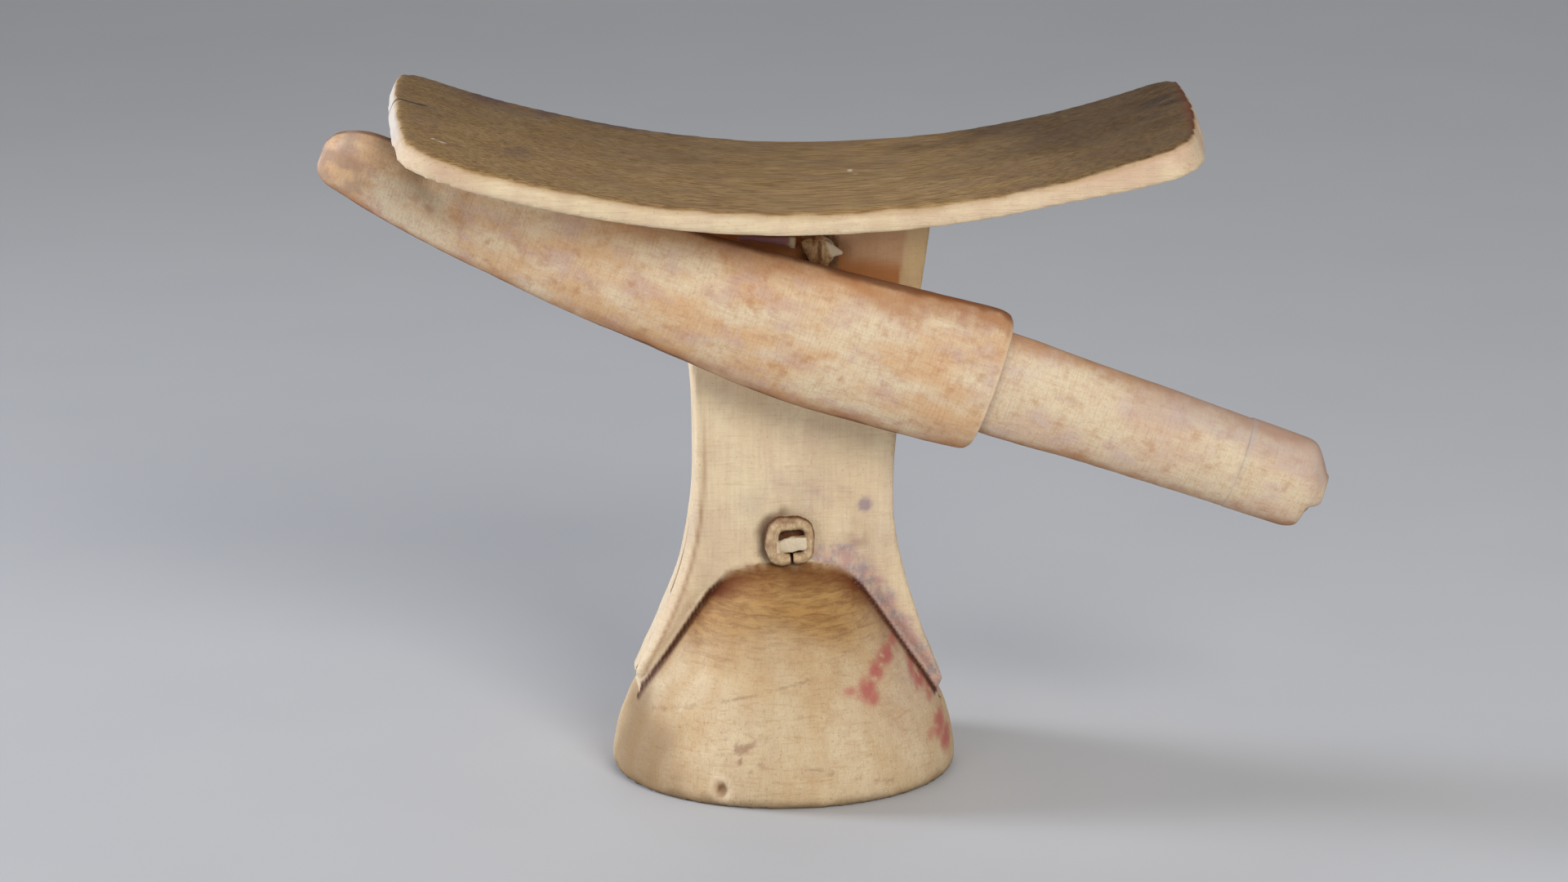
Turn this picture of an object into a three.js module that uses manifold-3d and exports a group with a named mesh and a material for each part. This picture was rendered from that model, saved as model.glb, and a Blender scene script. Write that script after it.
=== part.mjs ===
// Carved wooden headrest with a sheathed knife tied across the front of its stem.
// Millimetres, +Z up. The origin is the middle of the foot's flat underside, +X runs along the
// crest towards the knife's grip, and -Y is the front, where the knife hangs.
import * as THREE from 'three';
import { mergeVertices } from 'three/addons/utils/BufferGeometryUtils.js';
import Module from 'manifold-3d';

const wasm = await Module();
wasm.setup();

// ---------------------------------------------------------------- driving dimensions
const GAP = 0.3; // between pieces that touch
// crest
const CREST_LOW_Z = 150.6; // top of the saddle at its lowest
const CREST_LOW_X = 5;
const CREST_Y = -8; // middle of its depth
const CREST_HALF_DEPTH = 39;
const CREST_LEFT_X = -93.8;
const CREST_RIGHT_X = 98;
const CREST_RIM = 5.7; // board thickness
const CREST_BELLY = 3; // extra thickness over the stem
const CREST_CORNER = 14; // front left corner, rounded in plan
// stem
const STEM_FRONT_Y = -7;
const STEM_THICK = 12.5;
// foot
const FOOT_SQUASH = 0.93; // depth of the oval foot over its width
// thong and its two holes through the stem
const HOLE_R = 2.7;
const THONG_R = 1.9;
const LOWER_HOLE = { x: 0.8, z: 59.3 };
const UPPER_HOLE = { x: 8, z: 132.3 };
const KNOT_R = 5.7;
// knife and sheath, in the knife's own frame: x along the blade with 0 at the sheath's mouth,
// y across the thickness, z from edge to spine
const MOUTH = new THREE.Vector3(48.3, -23, 101.6);
const KNIFE_PITCH = THREE.MathUtils.degToRad(19.4);
const KNIFE_YAW = THREE.MathUtils.degToRad(3);
const SHEATH_LENGTH = 170;
const BEND_START = -92; // past this the sheath bends back, under the crest
const HIDE = 1.6; // thickness of the sheath's hide
const CORE_END = -17; // the wooden core stops here, to leave a socket for the grip
const GRIP_HIDE = 1.2;
const GRIP_START = -13;
const GRIP_RING = 63.5; // where the butt's cap laps the grip's sleeve
const GRIP_END = 85;
const BLADE_LENGTH = 102;
const TANG = { half_height: 3, half_thickness: 1.25, end: GRIP_END - 1.6 };
const LACE_PITCH = 6; // along the seam, from one crossing to the next
const LACE_REACH = 1.6; // to each side of the seam

// ---------------------------------------------------------------- helpers
function solid(geometry) {
  const bare = geometry.clone();
  bare.deleteAttribute('normal');
  bare.deleteAttribute('uv');
  const merged = mergeVertices(bare, 1e-4);
  return new wasm.Manifold(new wasm.Mesh({
    numProp: 3,
    vertProperties: new Float32Array(merged.attributes.position.array),
    triVerts: new Uint32Array(merged.index.array),
  }));
}

function geometryOf(manifold) {
  const mesh = manifold.getMesh();
  const geometry = new THREE.BufferGeometry();
  geometry.setAttribute('position', new THREE.BufferAttribute(mesh.vertProperties, 3));
  geometry.setIndex(new THREE.BufferAttribute(mesh.triVerts, 1));
  geometry.computeVertexNormals();
  return geometry;
}

function piece(name, manifold, color, roughness, metalness = 0) {
  const material = new THREE.MeshStandardMaterial({ color, roughness, metalness });
  const mesh = new THREE.Mesh(geometryOf(manifold), material);
  mesh.name = name;
  return mesh;
}

// A smooth value read from a short list of [position, value] stations.
function along(stations, at) {
  const last = stations.length - 1;
  if (at <= stations[0][0]) return stations[0][1];
  if (at >= stations[last][0]) return stations[last][1];
  const i = stations.findIndex(([x]) => x > at);
  const [x0, v0] = stations[i - 1];
  const [x1, v1] = stations[i];
  const slope = (a, b) => (b[1] - a[1]) / (b[0] - a[0]);
  const m0 = i > 1 ? slope(stations[i - 2], stations[i]) : slope(stations[0], stations[1]);
  const m1 = i < last ? slope(stations[i - 1], stations[i + 1]) : slope(stations[last - 1], stations[last]);
  const h = x1 - x0;
  const s = (at - x0) / h;
  const s2 = s * s;
  const s3 = s2 * s;
  return (2 * s3 - 3 * s2 + 1) * v0 + (s3 - 2 * s2 + s) * h * m0
    + (3 * s2 - 2 * s3) * v1 + (s3 - s2) * h * m1;
}

function extruded(shape, depth) {
  return new THREE.ExtrudeGeometry(shape, { depth, bevelEnabled: false, curveSegments: 10 });
}

// A lathed blank pressed to oval sections along x. The profile's points are [skin, x]: skin 0 is the
// middle line, and the others pick a surface from section(skin, x), which gives its top, bottom,
// middle y and half thickness.
function pressed(profile, segments, section) {
  const blank = new THREE.LatheGeometry(profile.map(([skin, x]) => new THREE.Vector2(skin, x)), segments);
  const places = blank.attributes.position;
  for (let i = 0; i < places.count; i += 1) {
    const x = places.getY(i);
    const skin = Math.round(Math.hypot(places.getX(i), places.getZ(i)));
    const turn = Math.atan2(places.getZ(i), places.getX(i));
    const { top, bottom, y, half } = section(Math.max(skin, 1), x);
    const reach = skin === 0 ? 0 : 1;
    places.setXYZ(
      i,
      x,
      y - reach * half * Math.cos(turn),
      (top + bottom) / 2 + reach * ((top - bottom) / 2) * Math.sin(turn),
    );
  }
  return solid(blank);
}

// Points with the same skin from one x to another, both ends included.
function run(skin, from, to, steps) {
  return Array.from({ length: steps + 1 }, (_, i) => [skin, from + ((to - from) * i) / steps]);
}

// ---------------------------------------------------------------- headrest
function crestTop(x, across) {
  const away = x - CREST_LOW_X;
  const rise = away < 0 ? 0.0031 * Math.abs(away) ** 1.9 : 0.00075 * away ** 2.2;
  const twist = -0.018 * x * across;
  return CREST_LOW_Z + rise + twist;
}

function crestSlope(x, across) {
  return (crestTop(x + 1, across) - crestTop(x - 1, across)) / 2;
}

function crestThickness(x, across) {
  const belly = CREST_BELLY * (1 - across * across) * Math.exp(-((x / 40) ** 2));
  const rightCorner = 2.6 * THREE.MathUtils.smoothstep(x, 55, 96) * (1 - across) / 2;
  return CREST_RIM + belly + rightCorner;
}

function crest() {
  const board = new THREE.BoxGeometry(2, 2, 2, 28, 12, 1);
  const places = board.attributes.position;
  for (let i = 0; i < places.count; i += 1) {
    const across = Math.sin((places.getY(i) * Math.PI) / 2); // rows close up towards the edges
    const frontCorner = across < 0 ? CREST_CORNER : 5;
    const left = CREST_LEFT_X + 2 * across ** 2 + frontCorner * across ** 14;
    const right = CREST_RIGHT_X + 3 * across - 2 * across ** 2 - 6 * across ** 14;
    const x = THREE.MathUtils.lerp(left, right, (places.getX(i) + 1) / 2);
    const slope = crestSlope(x, across);
    const down = places.getZ(i) < 0 ? crestThickness(x, across) : 0;
    const length = Math.hypot(1, slope);
    places.setXYZ(
      i,
      x + (down * slope) / length,
      CREST_Y + CREST_HALF_DEPTH * across,
      crestTop(x, across) - down / length,
    );
  }
  return solid(board);
}

// Seen from the front: legs that taper down the foot, a waist, and a flare up into the crest.
function stem() {
  const outline = new THREE.Shape();
  outline.moveTo(37.2, 18.3);
  outline.lineTo(39, 21.6);
  outline.bezierCurveTo(33.5, 36, 26.4, 52, 26.3, 70);
  outline.bezierCurveTo(26.2, 92, 32.6, 112, 36.5, 147);
  outline.lineTo(-32, 147);
  outline.bezierCurveTo(-25, 122, -22.2, 104, -22.4, 78);
  outline.bezierCurveTo(-22.6, 52, -30.5, 40, -37.2, 24.6);
  outline.lineTo(-35.8, 20.4);
  outline.lineTo(0, 10);
  const plank = extruded(outline, STEM_THICK);
  plank.rotateX(Math.PI / 2);
  plank.translate(0, STEM_FRONT_Y + STEM_THICK, 0);
  return solid(plank);
}

function foot() {
  const outline = new THREE.Path();
  outline.moveTo(0, 0);
  outline.lineTo(41.2, 0);
  outline.quadraticCurveTo(42.3, 0.4, 42.4, 3.5);
  outline.bezierCurveTo(42, 12, 37.6, 20, 33, 26.5);
  outline.bezierCurveTo(27, 35, 22, 44.5, 16.2, 51);
  outline.quadraticCurveTo(13.6, 53.8, 0, 53.8);
  const dome = new THREE.LatheGeometry(outline.getPoints(6), 40);
  dome.rotateX(Math.PI / 2);
  dome.scale(1, FOOT_SQUASH, 1);
  return solid(dome);
}

function hole({ x, z }) {
  const drill = new THREE.CylinderGeometry(HOLE_R, HOLE_R, STEM_THICK + 8, 20);
  drill.translate(0, STEM_FRONT_Y + STEM_THICK / 2, 0);
  drill.translate(x, 0, z);
  return solid(drill);
}

function headrestBlock() {
  const carved = crest().add(stem()).add(foot());
  return carved.subtract(hole(LOWER_HOLE)).subtract(hole(UPPER_HOLE));
}

// ---------------------------------------------------------------- thong and knots
const TAB_THICK = 1.5;
const THONG_LOWER_END_Y = STEM_FRONT_Y - 0.2;
const THONG_UPPER_END_Y = STEM_FRONT_Y - GAP - TAB_THICK - GAP;

// Knotted in front of the lower hole, out at the back, up in a loop that hangs low, and back
// through the upper hole to the other knot.
const THONG_ROUTE = [
  [LOWER_HOLE.x, THONG_LOWER_END_Y, LOWER_HOLE.z],
  [LOWER_HOLE.x, -2, LOWER_HOLE.z],
  [LOWER_HOLE.x, 3, LOWER_HOLE.z],
  [0.9, 8, 59.2],
  [1.1, 14, 58.7],
  [1.6, 20.5, 59],
  [2.3, 26, 61.8],
  [3, 29.8, 67],
  [3.7, 31.4, 74],
  [4.5, 31.1, 83],
  [5.3, 29.2, 93],
  [6.1, 26.4, 103],
  [6.8, 23.1, 113],
  [7.4, 19.6, 122],
  [7.8, 15.2, 129],
  [7.9, 9.2, 132],
  [UPPER_HOLE.x, 3, UPPER_HOLE.z],
  [UPPER_HOLE.x, -3, UPPER_HOLE.z],
  [UPPER_HOLE.x, THONG_UPPER_END_Y, UPPER_HOLE.z],
];

function carryingThong() {
  const route = new THREE.CatmullRomCurve3(THONG_ROUTE.map((p) => new THREE.Vector3(...p)));
  const section = new THREE.Shape();
  section.absarc(0, 0, THONG_R, 0, 2 * Math.PI);
  const tube = new THREE.ExtrudeGeometry(section, { steps: 32, extrudePath: route, curveSegments: 4 });
  return solid(tube);
}

// A rolled stopper: a drum with a rounded front, flat at the back where it bears on the stem.
function stopKnot({ x, z }, backY, radius, depth) {
  const outline = new THREE.Path();
  outline.moveTo(0, 0);
  outline.lineTo(radius * 0.8, 0);
  outline.quadraticCurveTo(radius, depth * 0.1, radius, depth * 0.45);
  outline.quadraticCurveTo(radius, depth, radius * 0.55, depth);
  outline.lineTo(0, depth);
  const drum = new THREE.LatheGeometry(outline.getPoints(3), 16);
  drum.rotateX(Math.PI);
  drum.translate(x, backY, z);
  return solid(drum);
}

// ---------------------------------------------------------------- sheath
const SHEATH_TOP = [[-170, 1.2], [-168, 4.2], [-165, 6.1], [-160, 7.6], [-150, 8], [-125, 9.8],
  [-78, 12.8], [-45, 14.6], [-20, 16.8], [-5, 17.8], [-1.5, 17.3], [0, 15.8]];
const SHEATH_BOTTOM = [[-170, -6], [-168, -7.8], [-165, -8.9], [-146, -12.2], [-124, -14.2],
  [-103, -16.2], [-73, -18.6], [-45, -20.2], [-20, -19.3], [-5, -18], [-1.5, -17.4], [0, -16]];
const SHEATH_HALF = [[-170, 2.8], [-165, 4.4], [-140, 5.6], [-100, 7.6], [-60, 9], [-20, 9.8], [0, 9.6]];

function sheathBend(x) {
  return 0.0229 * Math.max(0, BEND_START - x) ** 1.5;
}

function sheathSection(inset, x) {
  const end = Math.max(-SHEATH_LENGTH, Math.min(0, x));
  return {
    top: along(SHEATH_TOP, end) - inset,
    bottom: along(SHEATH_BOTTOM, end) + inset,
    y: sheathBend(end),
    half: along(SHEATH_HALF, end) - inset,
  };
}

function sheathCover() {
  const inner = -SHEATH_LENGTH + 6;
  const profile = [
    [0, -SHEATH_LENGTH],
    ...run(2, -SHEATH_LENGTH, -SHEATH_LENGTH + 8, 3),
    ...run(2, -SHEATH_LENGTH + 14, 0, 16),
    ...run(1, 0, inner + 6, 14),
    [1, inner],
    [0, inner],
  ];
  return pressed(profile, 24, (skin, x) => sheathSection(skin === 2 ? 0 : HIDE, x));
}

// The blade, from its shoulder inside the mouth to its tip, and the slot that it fills.
const BLADE_TIP = GRIP_START - BLADE_LENGTH;
const BLADE_SPINE = [[BLADE_TIP, -0.2], [BLADE_TIP + 8, 2.4], [-90, 6.4], [-50, 8.9], [GRIP_START, 9.8]];
const BLADE_EDGE = [[BLADE_TIP, -1], [BLADE_TIP + 8, -4.6], [-90, -9.4], [-50, -11.4], [GRIP_START, -10.6]];
const BLADE_HALF = [[BLADE_TIP, 0.5], [-90, 1.1], [GRIP_START, 1.5]];

function bladeSection(grow, x) {
  return {
    top: along(BLADE_SPINE, x) + grow,
    bottom: along(BLADE_EDGE, x) - grow,
    y: 0,
    half: along(BLADE_HALF, x) + grow,
  };
}

function bladeBlank(grow, from, to) {
  const profile = [[0, from], ...run(1, from, to, 12), [0, to]];
  return pressed(profile, 12, (_, x) => bladeSection(grow, x));
}

function bladeSlot() {
  const clearance = 0.5;
  return bladeBlank(clearance, BLADE_TIP - 1, GRIP_START);
}

function sheathCoreHalf(side) {
  const from = -SHEATH_LENGTH + 9;
  const inset = HIDE + GAP;
  const profile = [[0, from], ...run(1, from, CORE_END, 13), [0, CORE_END]];
  const whole = pressed(profile, 20, (_, x) => sheathSection(inset, x));
  const depth = 60;
  const keep = new THREE.BoxGeometry(2 * SHEATH_LENGTH, depth, depth);
  keep.translate(from, (side * (depth + GAP)) / 2, 0);
  return whole.intersect(solid(keep)).subtract(bladeSlot());
}

// One strip laced to and fro over the seam that closes the hide along the sheath's back.
function sheathLacing() {
  const halfThick = 0.6;
  const halfWide = 0.9;
  const proud = halfThick + GAP + 0.05;
  const points = [];
  for (let x = -150; x <= -8; x += LACE_PITCH) {
    const side = points.length % 2 ? 1 : -1;
    const { top, bottom, y, half } = sheathSection(0, x);
    points.push(new THREE.Vector3(x, y + half + proud, (top + bottom) / 2 + side * LACE_REACH));
  }
  const strip = new THREE.Shape();
  strip.moveTo(-halfThick, -halfWide);
  strip.lineTo(halfThick, -halfWide);
  strip.lineTo(halfThick, halfWide);
  strip.lineTo(-halfThick, halfWide);
  const route = new THREE.CatmullRomCurve3(points);
  return solid(new THREE.ExtrudeGeometry(strip, { steps: points.length * 2, extrudePath: route }));
}

// A hide tab laced to the sheath's back. Its eye goes round the thong, behind the upper knot.
function sheathTab() {
  const half = 4.6;
  const lowEnd = 104; // well behind the sheath
  const outline = new THREE.Shape();
  outline.absarc(UPPER_HOLE.x, UPPER_HOLE.z, half, 0, Math.PI);
  outline.lineTo(UPPER_HOLE.x - half, lowEnd);
  outline.lineTo(UPPER_HOLE.x + half, lowEnd);
  const eye = new THREE.Path();
  eye.absarc(UPPER_HOLE.x, UPPER_HOLE.z, HOLE_R, 0, 2 * Math.PI, true);
  outline.holes.push(eye);
  const tab = extruded(outline, TAB_THICK);
  tab.rotateX(Math.PI / 2);
  tab.translate(0, STEM_FRONT_Y - GAP, 0);
  return solid(tab);
}

// ---------------------------------------------------------------- knife
const GRIP_TOP = [[-13, 13.4], [0, 13.6], [20, 13], [48, 12.5], [76, 11.8], [79.5, 11.4],
  [81.5, 9.8], [85, 4.6]];
const GRIP_BOTTOM = [[-13, -12.6], [0, -12.4], [20, -11.7], [48, -11], [76, -10.4], [80, -10],
  [82.5, -8.4], [85, -4.6]];
const GRIP_HALF = [[-13, 6.8], [0, 7], [40, 8], [76, 8], [81, 7], [85, 4]];

function gripSection(inset, x) {
  return {
    top: along(GRIP_TOP, x) - inset,
    bottom: along(GRIP_BOTTOM, x) + inset,
    y: 0,
    half: along(GRIP_HALF, x) - inset,
  };
}

function tangSolid(grow, to) {
  const from = GRIP_START - 4;
  const tang = new THREE.BoxGeometry(
    to - from,
    2 * (TANG.half_thickness + grow),
    2 * (TANG.half_height + grow),
  );
  tang.translate((from + to) / 2, 0, 0);
  return solid(tang);
}

// The way through the grip that the tang fills, open at the butt.
function tangSlot() {
  return tangSolid(GAP, GRIP_END + 4);
}

function knifeBlade() {
  return bladeBlank(0, BLADE_TIP, GRIP_START).add(tangSolid(0, TANG.end));
}

const BUTT_FLOOR = GRIP_END - 3; // inside of the cap's end

function gripCore() {
  const inset = GRIP_HIDE + GAP;
  const from = GRIP_START + GAP;
  const to = BUTT_FLOOR - 2.5;
  const profile = [[0, from], ...run(1, from, to, 9), [0, to]];
  return pressed(profile, 20, (_, x) => gripSection(inset, x)).subtract(tangSlot());
}

function gripSleeve() {
  const profile = [
    ...run(2, GRIP_START, GRIP_RING, 7),
    ...run(1, GRIP_RING, GRIP_START, 7),
    [2, GRIP_START],
  ];
  return pressed(profile, 24, (skin, x) => gripSection(skin === 2 ? 0 : GRIP_HIDE, x));
}

// The hide cap over the butt, with a slit where the end of the tang shows.
function buttCap() {
  const from = GRIP_RING + GAP;
  const proud = 0.3;
  const profile = [
    [0, BUTT_FLOOR],
    [1, BUTT_FLOOR],
    ...run(1, 79, from, 3),
    ...run(2, from, 72, 2),
    ...run(2, 76, GRIP_END, 4),
    [0, GRIP_END],
  ];
  const cup = pressed(profile, 24, (skin, x) => gripSection(skin === 2 ? -proud : GRIP_HIDE, x));
  return cup.subtract(tangSlot());
}

// ---------------------------------------------------------------- assembly
const WOOD = 0xd8b583;
const CORE_WOOD = 0xc9a06b;
const SHEATH_HIDE = 0xcfa283;
const GRIP_HIDE_COLOR = 0xdcb88c;
const THONG_HIDE = 0xa9814f;
const IRON = 0x6f6a66;

const knifeFrame = new THREE.Group();
knifeFrame.position.copy(MOUTH);
knifeFrame.rotation.set(0, KNIFE_PITCH, -KNIFE_YAW, 'ZYX');
knifeFrame.add(
  piece('sheath_cover', sheathCover(), SHEATH_HIDE, 0.65),
  piece('sheath_core_front', sheathCoreHalf(-1), CORE_WOOD, 0.75),
  piece('sheath_core_back', sheathCoreHalf(1), CORE_WOOD, 0.75),
  piece('sheath_seam_lacing', sheathLacing(), THONG_HIDE, 0.7),
  piece('knife_blade', knifeBlade(), IRON, 0.5, 1),
  piece('grip_core', gripCore(), CORE_WOOD, 0.75),
  piece('grip_sleeve', gripSleeve(), GRIP_HIDE_COLOR, 0.6),
  piece('butt_cap', buttCap(), GRIP_HIDE_COLOR, 0.6),
);

const headrest = new THREE.Group();
headrest.add(
  piece('headrest_block', headrestBlock(), WOOD, 0.6),
  piece('carrying_thong', carryingThong(), THONG_HIDE, 0.7),
  piece('lower_thong_knot', stopKnot(LOWER_HOLE, THONG_LOWER_END_Y - GAP, KNOT_R, 5.5), THONG_HIDE, 0.7),
  piece('upper_thong_knot', stopKnot(UPPER_HOLE, THONG_UPPER_END_Y - GAP, 4, 4.5), THONG_HIDE, 0.7),
  piece('sheath_tab', sheathTab(), THONG_HIDE, 0.7),
  knifeFrame,
);

export default headrest;
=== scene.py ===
"""Looks for the carved headrest with a sheathed knife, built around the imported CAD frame.

Shapes are worked out in millimetres in the row frame, and written to the meshes in metres.
"""

import itertools
import math

import bpy
import numpy as np
from mathutils import Euler, Matrix, Vector


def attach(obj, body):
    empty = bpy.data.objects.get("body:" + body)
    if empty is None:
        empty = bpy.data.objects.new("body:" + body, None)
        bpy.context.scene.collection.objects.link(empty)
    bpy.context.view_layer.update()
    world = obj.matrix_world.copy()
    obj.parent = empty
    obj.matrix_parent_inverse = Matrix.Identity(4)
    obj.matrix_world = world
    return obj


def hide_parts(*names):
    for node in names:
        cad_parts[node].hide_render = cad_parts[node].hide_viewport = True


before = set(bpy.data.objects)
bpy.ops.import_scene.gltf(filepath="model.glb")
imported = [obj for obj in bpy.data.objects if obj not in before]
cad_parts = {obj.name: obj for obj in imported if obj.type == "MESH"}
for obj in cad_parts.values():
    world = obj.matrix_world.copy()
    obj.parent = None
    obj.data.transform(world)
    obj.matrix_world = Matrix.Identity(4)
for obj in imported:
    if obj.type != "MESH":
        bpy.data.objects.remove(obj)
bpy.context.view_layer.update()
MM = 0.001

# ---------------------------------------------------------------- driving dimensions, millimetres
CREST_LOW_Z, CREST_LOW_X = 150.6, 5.0
CREST_Y, CREST_HALF_DEPTH = -8.0, 39.0
CREST_LEFT_X, CREST_RIGHT_X = -93.8, 98.0
CREST_RIM, CREST_BELLY = 5.7, 3.0
CREST_CORNERS = (14.0, 5.0)  # how far the left end's front and back corners are cut back
CREST_RISES = ((0.0031, 1.9), (0.00075, 2.2))  # scale and power of the climb, left and right
CREST_TILT = 0.018  # how much lower the board's back is, for each millimetre to the right
STEM_FRONT_Y, STEM_THICK = -7.0, 12.5
STEM_BACK_Y, STEM_TOP_Z = STEM_FRONT_Y + STEM_THICK, 148.0
FOOT_SQUASH = 0.93
HOLE_R, THONG_R = 2.7, 1.9
LOWER_HOLE, UPPER_HOLE = (0.8, 59.3), (8.0, 132.3)
MOUTH = Vector((48.3, -23.0, 101.6))
KNIFE_PITCH, KNIFE_YAW = math.radians(19.4), math.radians(3.0)
KNIFE_FRAME = Matrix.Translation(MOUTH) @ Euler((0, KNIFE_PITCH, -KNIFE_YAW)).to_matrix().to_4x4()
SHEATH_LENGTH, BEND_START, HIDE = 170.0, -92.0, 1.6
GRIP_HIDE, GRIP_START, GRIP_RING, GRIP_END = 1.2, -13.0, 63.5, 85.0
BLADE_TIP = -115.0
TAB_THICK, GAP = 1.5, 0.3
HEADREST_VOXEL, KNOT_VOXEL = 0.89, 0.16
KNOT_BACK_Y = STEM_FRONT_Y - 0.5
UPPER_KNOT_BACK_Y = STEM_FRONT_Y - TAB_THICK - 3 * GAP

SHEATH_TOP = [(-170, 1.2), (-168, 4.2), (-165, 6.1), (-160, 7.6), (-150, 8), (-125, 9.8),
              (-78, 12.8), (-45, 14.6), (-20, 16.8), (-5, 17.8), (-1.5, 17.3), (0, 15.8)]
SHEATH_BOTTOM = [(-170, -6), (-168, -7.8), (-165, -8.9), (-146, -12.2), (-124, -14.2),
                 (-103, -16.2), (-73, -18.6), (-45, -20.2), (-20, -19.3), (-5, -18),
                 (-1.5, -17.4), (0, -16)]
SHEATH_HALF = [(-170, 2.8), (-165, 4.4), (-140, 5.6), (-100, 7.6), (-60, 9), (-20, 9.8), (0, 9.6)]
GRIP_TOP = [(-13, 13.4), (0, 13.6), (20, 13), (48, 12.5), (76, 11.8), (79.5, 11.4),
            (81.5, 9.8), (85, 4.6)]
GRIP_BOTTOM = [(-13, -12.6), (0, -12.4), (20, -11.7), (48, -11), (76, -10.4), (80, -10),
               (82.5, -8.4), (85, -4.6)]
GRIP_HALF = [(-13, 6.8), (0, 7), (40, 8), (76, 8), (81, 7), (85, 4)]
SHEATH = (SHEATH_TOP, SHEATH_BOTTOM, SHEATH_HALF)
GRIP = (GRIP_TOP, GRIP_BOTTOM, GRIP_HALF)
BLADE_SPINE = [(-115, -0.2), (-107, 2.4), (-90, 6.4), (-50, 8.9), (-13, 9.8)]
BLADE_EDGE = [(-115, -1), (-107, -4.6), (-90, -9.4), (-50, -11.4), (-13, -10.6)]
BLADE_HALF = [(-115, 0.5), (-90, 1.1), (-13, 1.5)]
BLADE = (BLADE_SPINE, BLADE_EDGE, BLADE_HALF)

# The thong's line, the same points as the CAD tube's. Its ends run through the two holes.
THONG_LOWER_END_Y = STEM_FRONT_Y - 0.2
THONG_UPPER_END_Y = STEM_FRONT_Y - GAP - TAB_THICK - GAP
THONG_ROUTE = [
    (0.8, THONG_LOWER_END_Y, 59.3), (0.8, -2, 59.3), (0.8, 3, 59.3), (0.9, 8, 59.2),
    (1.1, 14, 58.7), (1.6, 20.5, 59), (2.3, 26, 61.8), (3, 29.8, 67), (3.7, 31.4, 74),
    (4.5, 31.1, 83), (5.3, 29.2, 93), (6.1, 26.4, 103), (6.8, 23.1, 113), (7.4, 19.6, 122),
    (7.8, 15.2, 129), (7.9, 9.2, 132), (8, 3, 132.3), (8, -3, 132.3),
    (8, THONG_UPPER_END_Y, 132.3),
]
# The lower knot's ring, as x and z from its hole.
LOWER_KNOT_RING = [
    (0.5, -4.1), (2.6, -4.0), (4.2, -2.6), (4.5, 0.2), (4.2, 3.0), (2.4, 4.5), (-0.6, 4.5),
    (-3.2, 4.2), (-4.5, 2.2), (-4.7, -0.8), (-3.9, -3.3), (-2.0, -4.2), (-0.3, -4.2),
]


# ---------------------------------------------------------------- camera
def add_camera():
    """The photo's view: from a little to the left and above, with a long lens."""
    azimuth, elevation, distance = math.radians(-5), math.radians(15.5), 1.6
    target = Vector((0, 0, 0.082))
    look = Vector((
        -math.sin(azimuth) * math.cos(elevation),
        math.cos(azimuth) * math.cos(elevation),
        -math.sin(elevation),
    ))
    data = bpy.data.cameras.new("camera")
    data.lens = 150
    data.sensor_width = 36
    camera = bpy.data.objects.new("camera", data)
    camera.location = target - distance * look
    camera.rotation_euler = look.to_track_quat("-Z", "Y").to_euler()
    bpy.context.scene.collection.objects.link(camera)
    bpy.context.scene.camera = camera


# ---------------------------------------------------------------- number helpers
NOISE_VALUES = 4096  # how many random values the noise draws on
NOISE_SHIFT = 57.3  # keeps the noise's grid off the part's own planes
NOISE_PRIMES = (73856093, 19349663, 83492791)  # scatter the grid's corners among the values


def along(stations, at):
    """A smooth value at each place in at, read from a short list of (position, value)."""
    xs = np.array([s[0] for s in stations], float)
    vs = np.array([s[1] for s in stations], float)
    at = np.clip(np.asarray(at, float), xs[0], xs[-1])
    slopes = np.empty_like(vs)
    slopes[1:-1] = (vs[2:] - vs[:-2]) / (xs[2:] - xs[:-2])
    slopes[0] = (vs[1] - vs[0]) / (xs[1] - xs[0])
    slopes[-1] = (vs[-1] - vs[-2]) / (xs[-1] - xs[-2])
    i = np.clip(np.searchsorted(xs, at, side="right"), 1, len(xs) - 1)
    h = xs[i] - xs[i - 1]
    s = (at - xs[i - 1]) / h
    s2, s3 = s * s, s * s * s
    return (
        (2 * s3 - 3 * s2 + 1) * vs[i - 1]
        + (s3 - 2 * s2 + s) * h * slopes[i - 1]
        + (3 * s2 - 2 * s3) * vs[i]
        + (s3 - s2) * h * slopes[i]
    )


def smoothstep(low, high, value):
    t = np.clip((np.asarray(value, float) - low) / (high - low), 0, 1)
    return t * t * (3 - 2 * t)


def bezier(a, b, c, d, steps=24):
    t = np.linspace(0, 1, steps + 1)[:, None]
    a, b, c, d = (np.array(p, float) for p in (a, b, c, d))
    return (1 - t) ** 3 * a + 3 * (1 - t) ** 2 * t * b + 3 * (1 - t) * t**2 * c + t**3 * d


def lumps(points, size, seed):
    """Smooth noise from -1 to 1 with features of that size, which may differ by axis."""
    table = np.random.default_rng(seed).uniform(-1, 1, NOISE_VALUES)
    p = np.asarray(points, float) / np.asarray(size, float) + NOISE_SHIFT
    low = np.floor(p).astype(np.int64)
    f = p - low
    f = f * f * (3 - 2 * f)
    total = 0
    for corner in itertools.product((0, 1), repeat=3):
        keys = [(low[:, axis] + corner[axis]) * NOISE_PRIMES[axis] for axis in range(3)]
        weights = [f[:, axis] if corner[axis] else 1 - f[:, axis] for axis in range(3)]
        value = table[(keys[0] ^ keys[1] ^ keys[2]) % NOISE_VALUES]
        total = total + weights[0] * weights[1] * weights[2] * value
    return total


def hill(value, middle, width):
    """1 at the middle, fading to 0 on both sides of it."""
    return np.exp(-(((value - middle) / width) ** 2))


def spot(a, b, middle, size):
    """1 at a place seen flat, fading to 0 around it over an oval of that size."""
    return np.exp(-(((a - middle[0]) / size[0]) ** 2 + ((b - middle[1]) / size[1]) ** 2))


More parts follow.
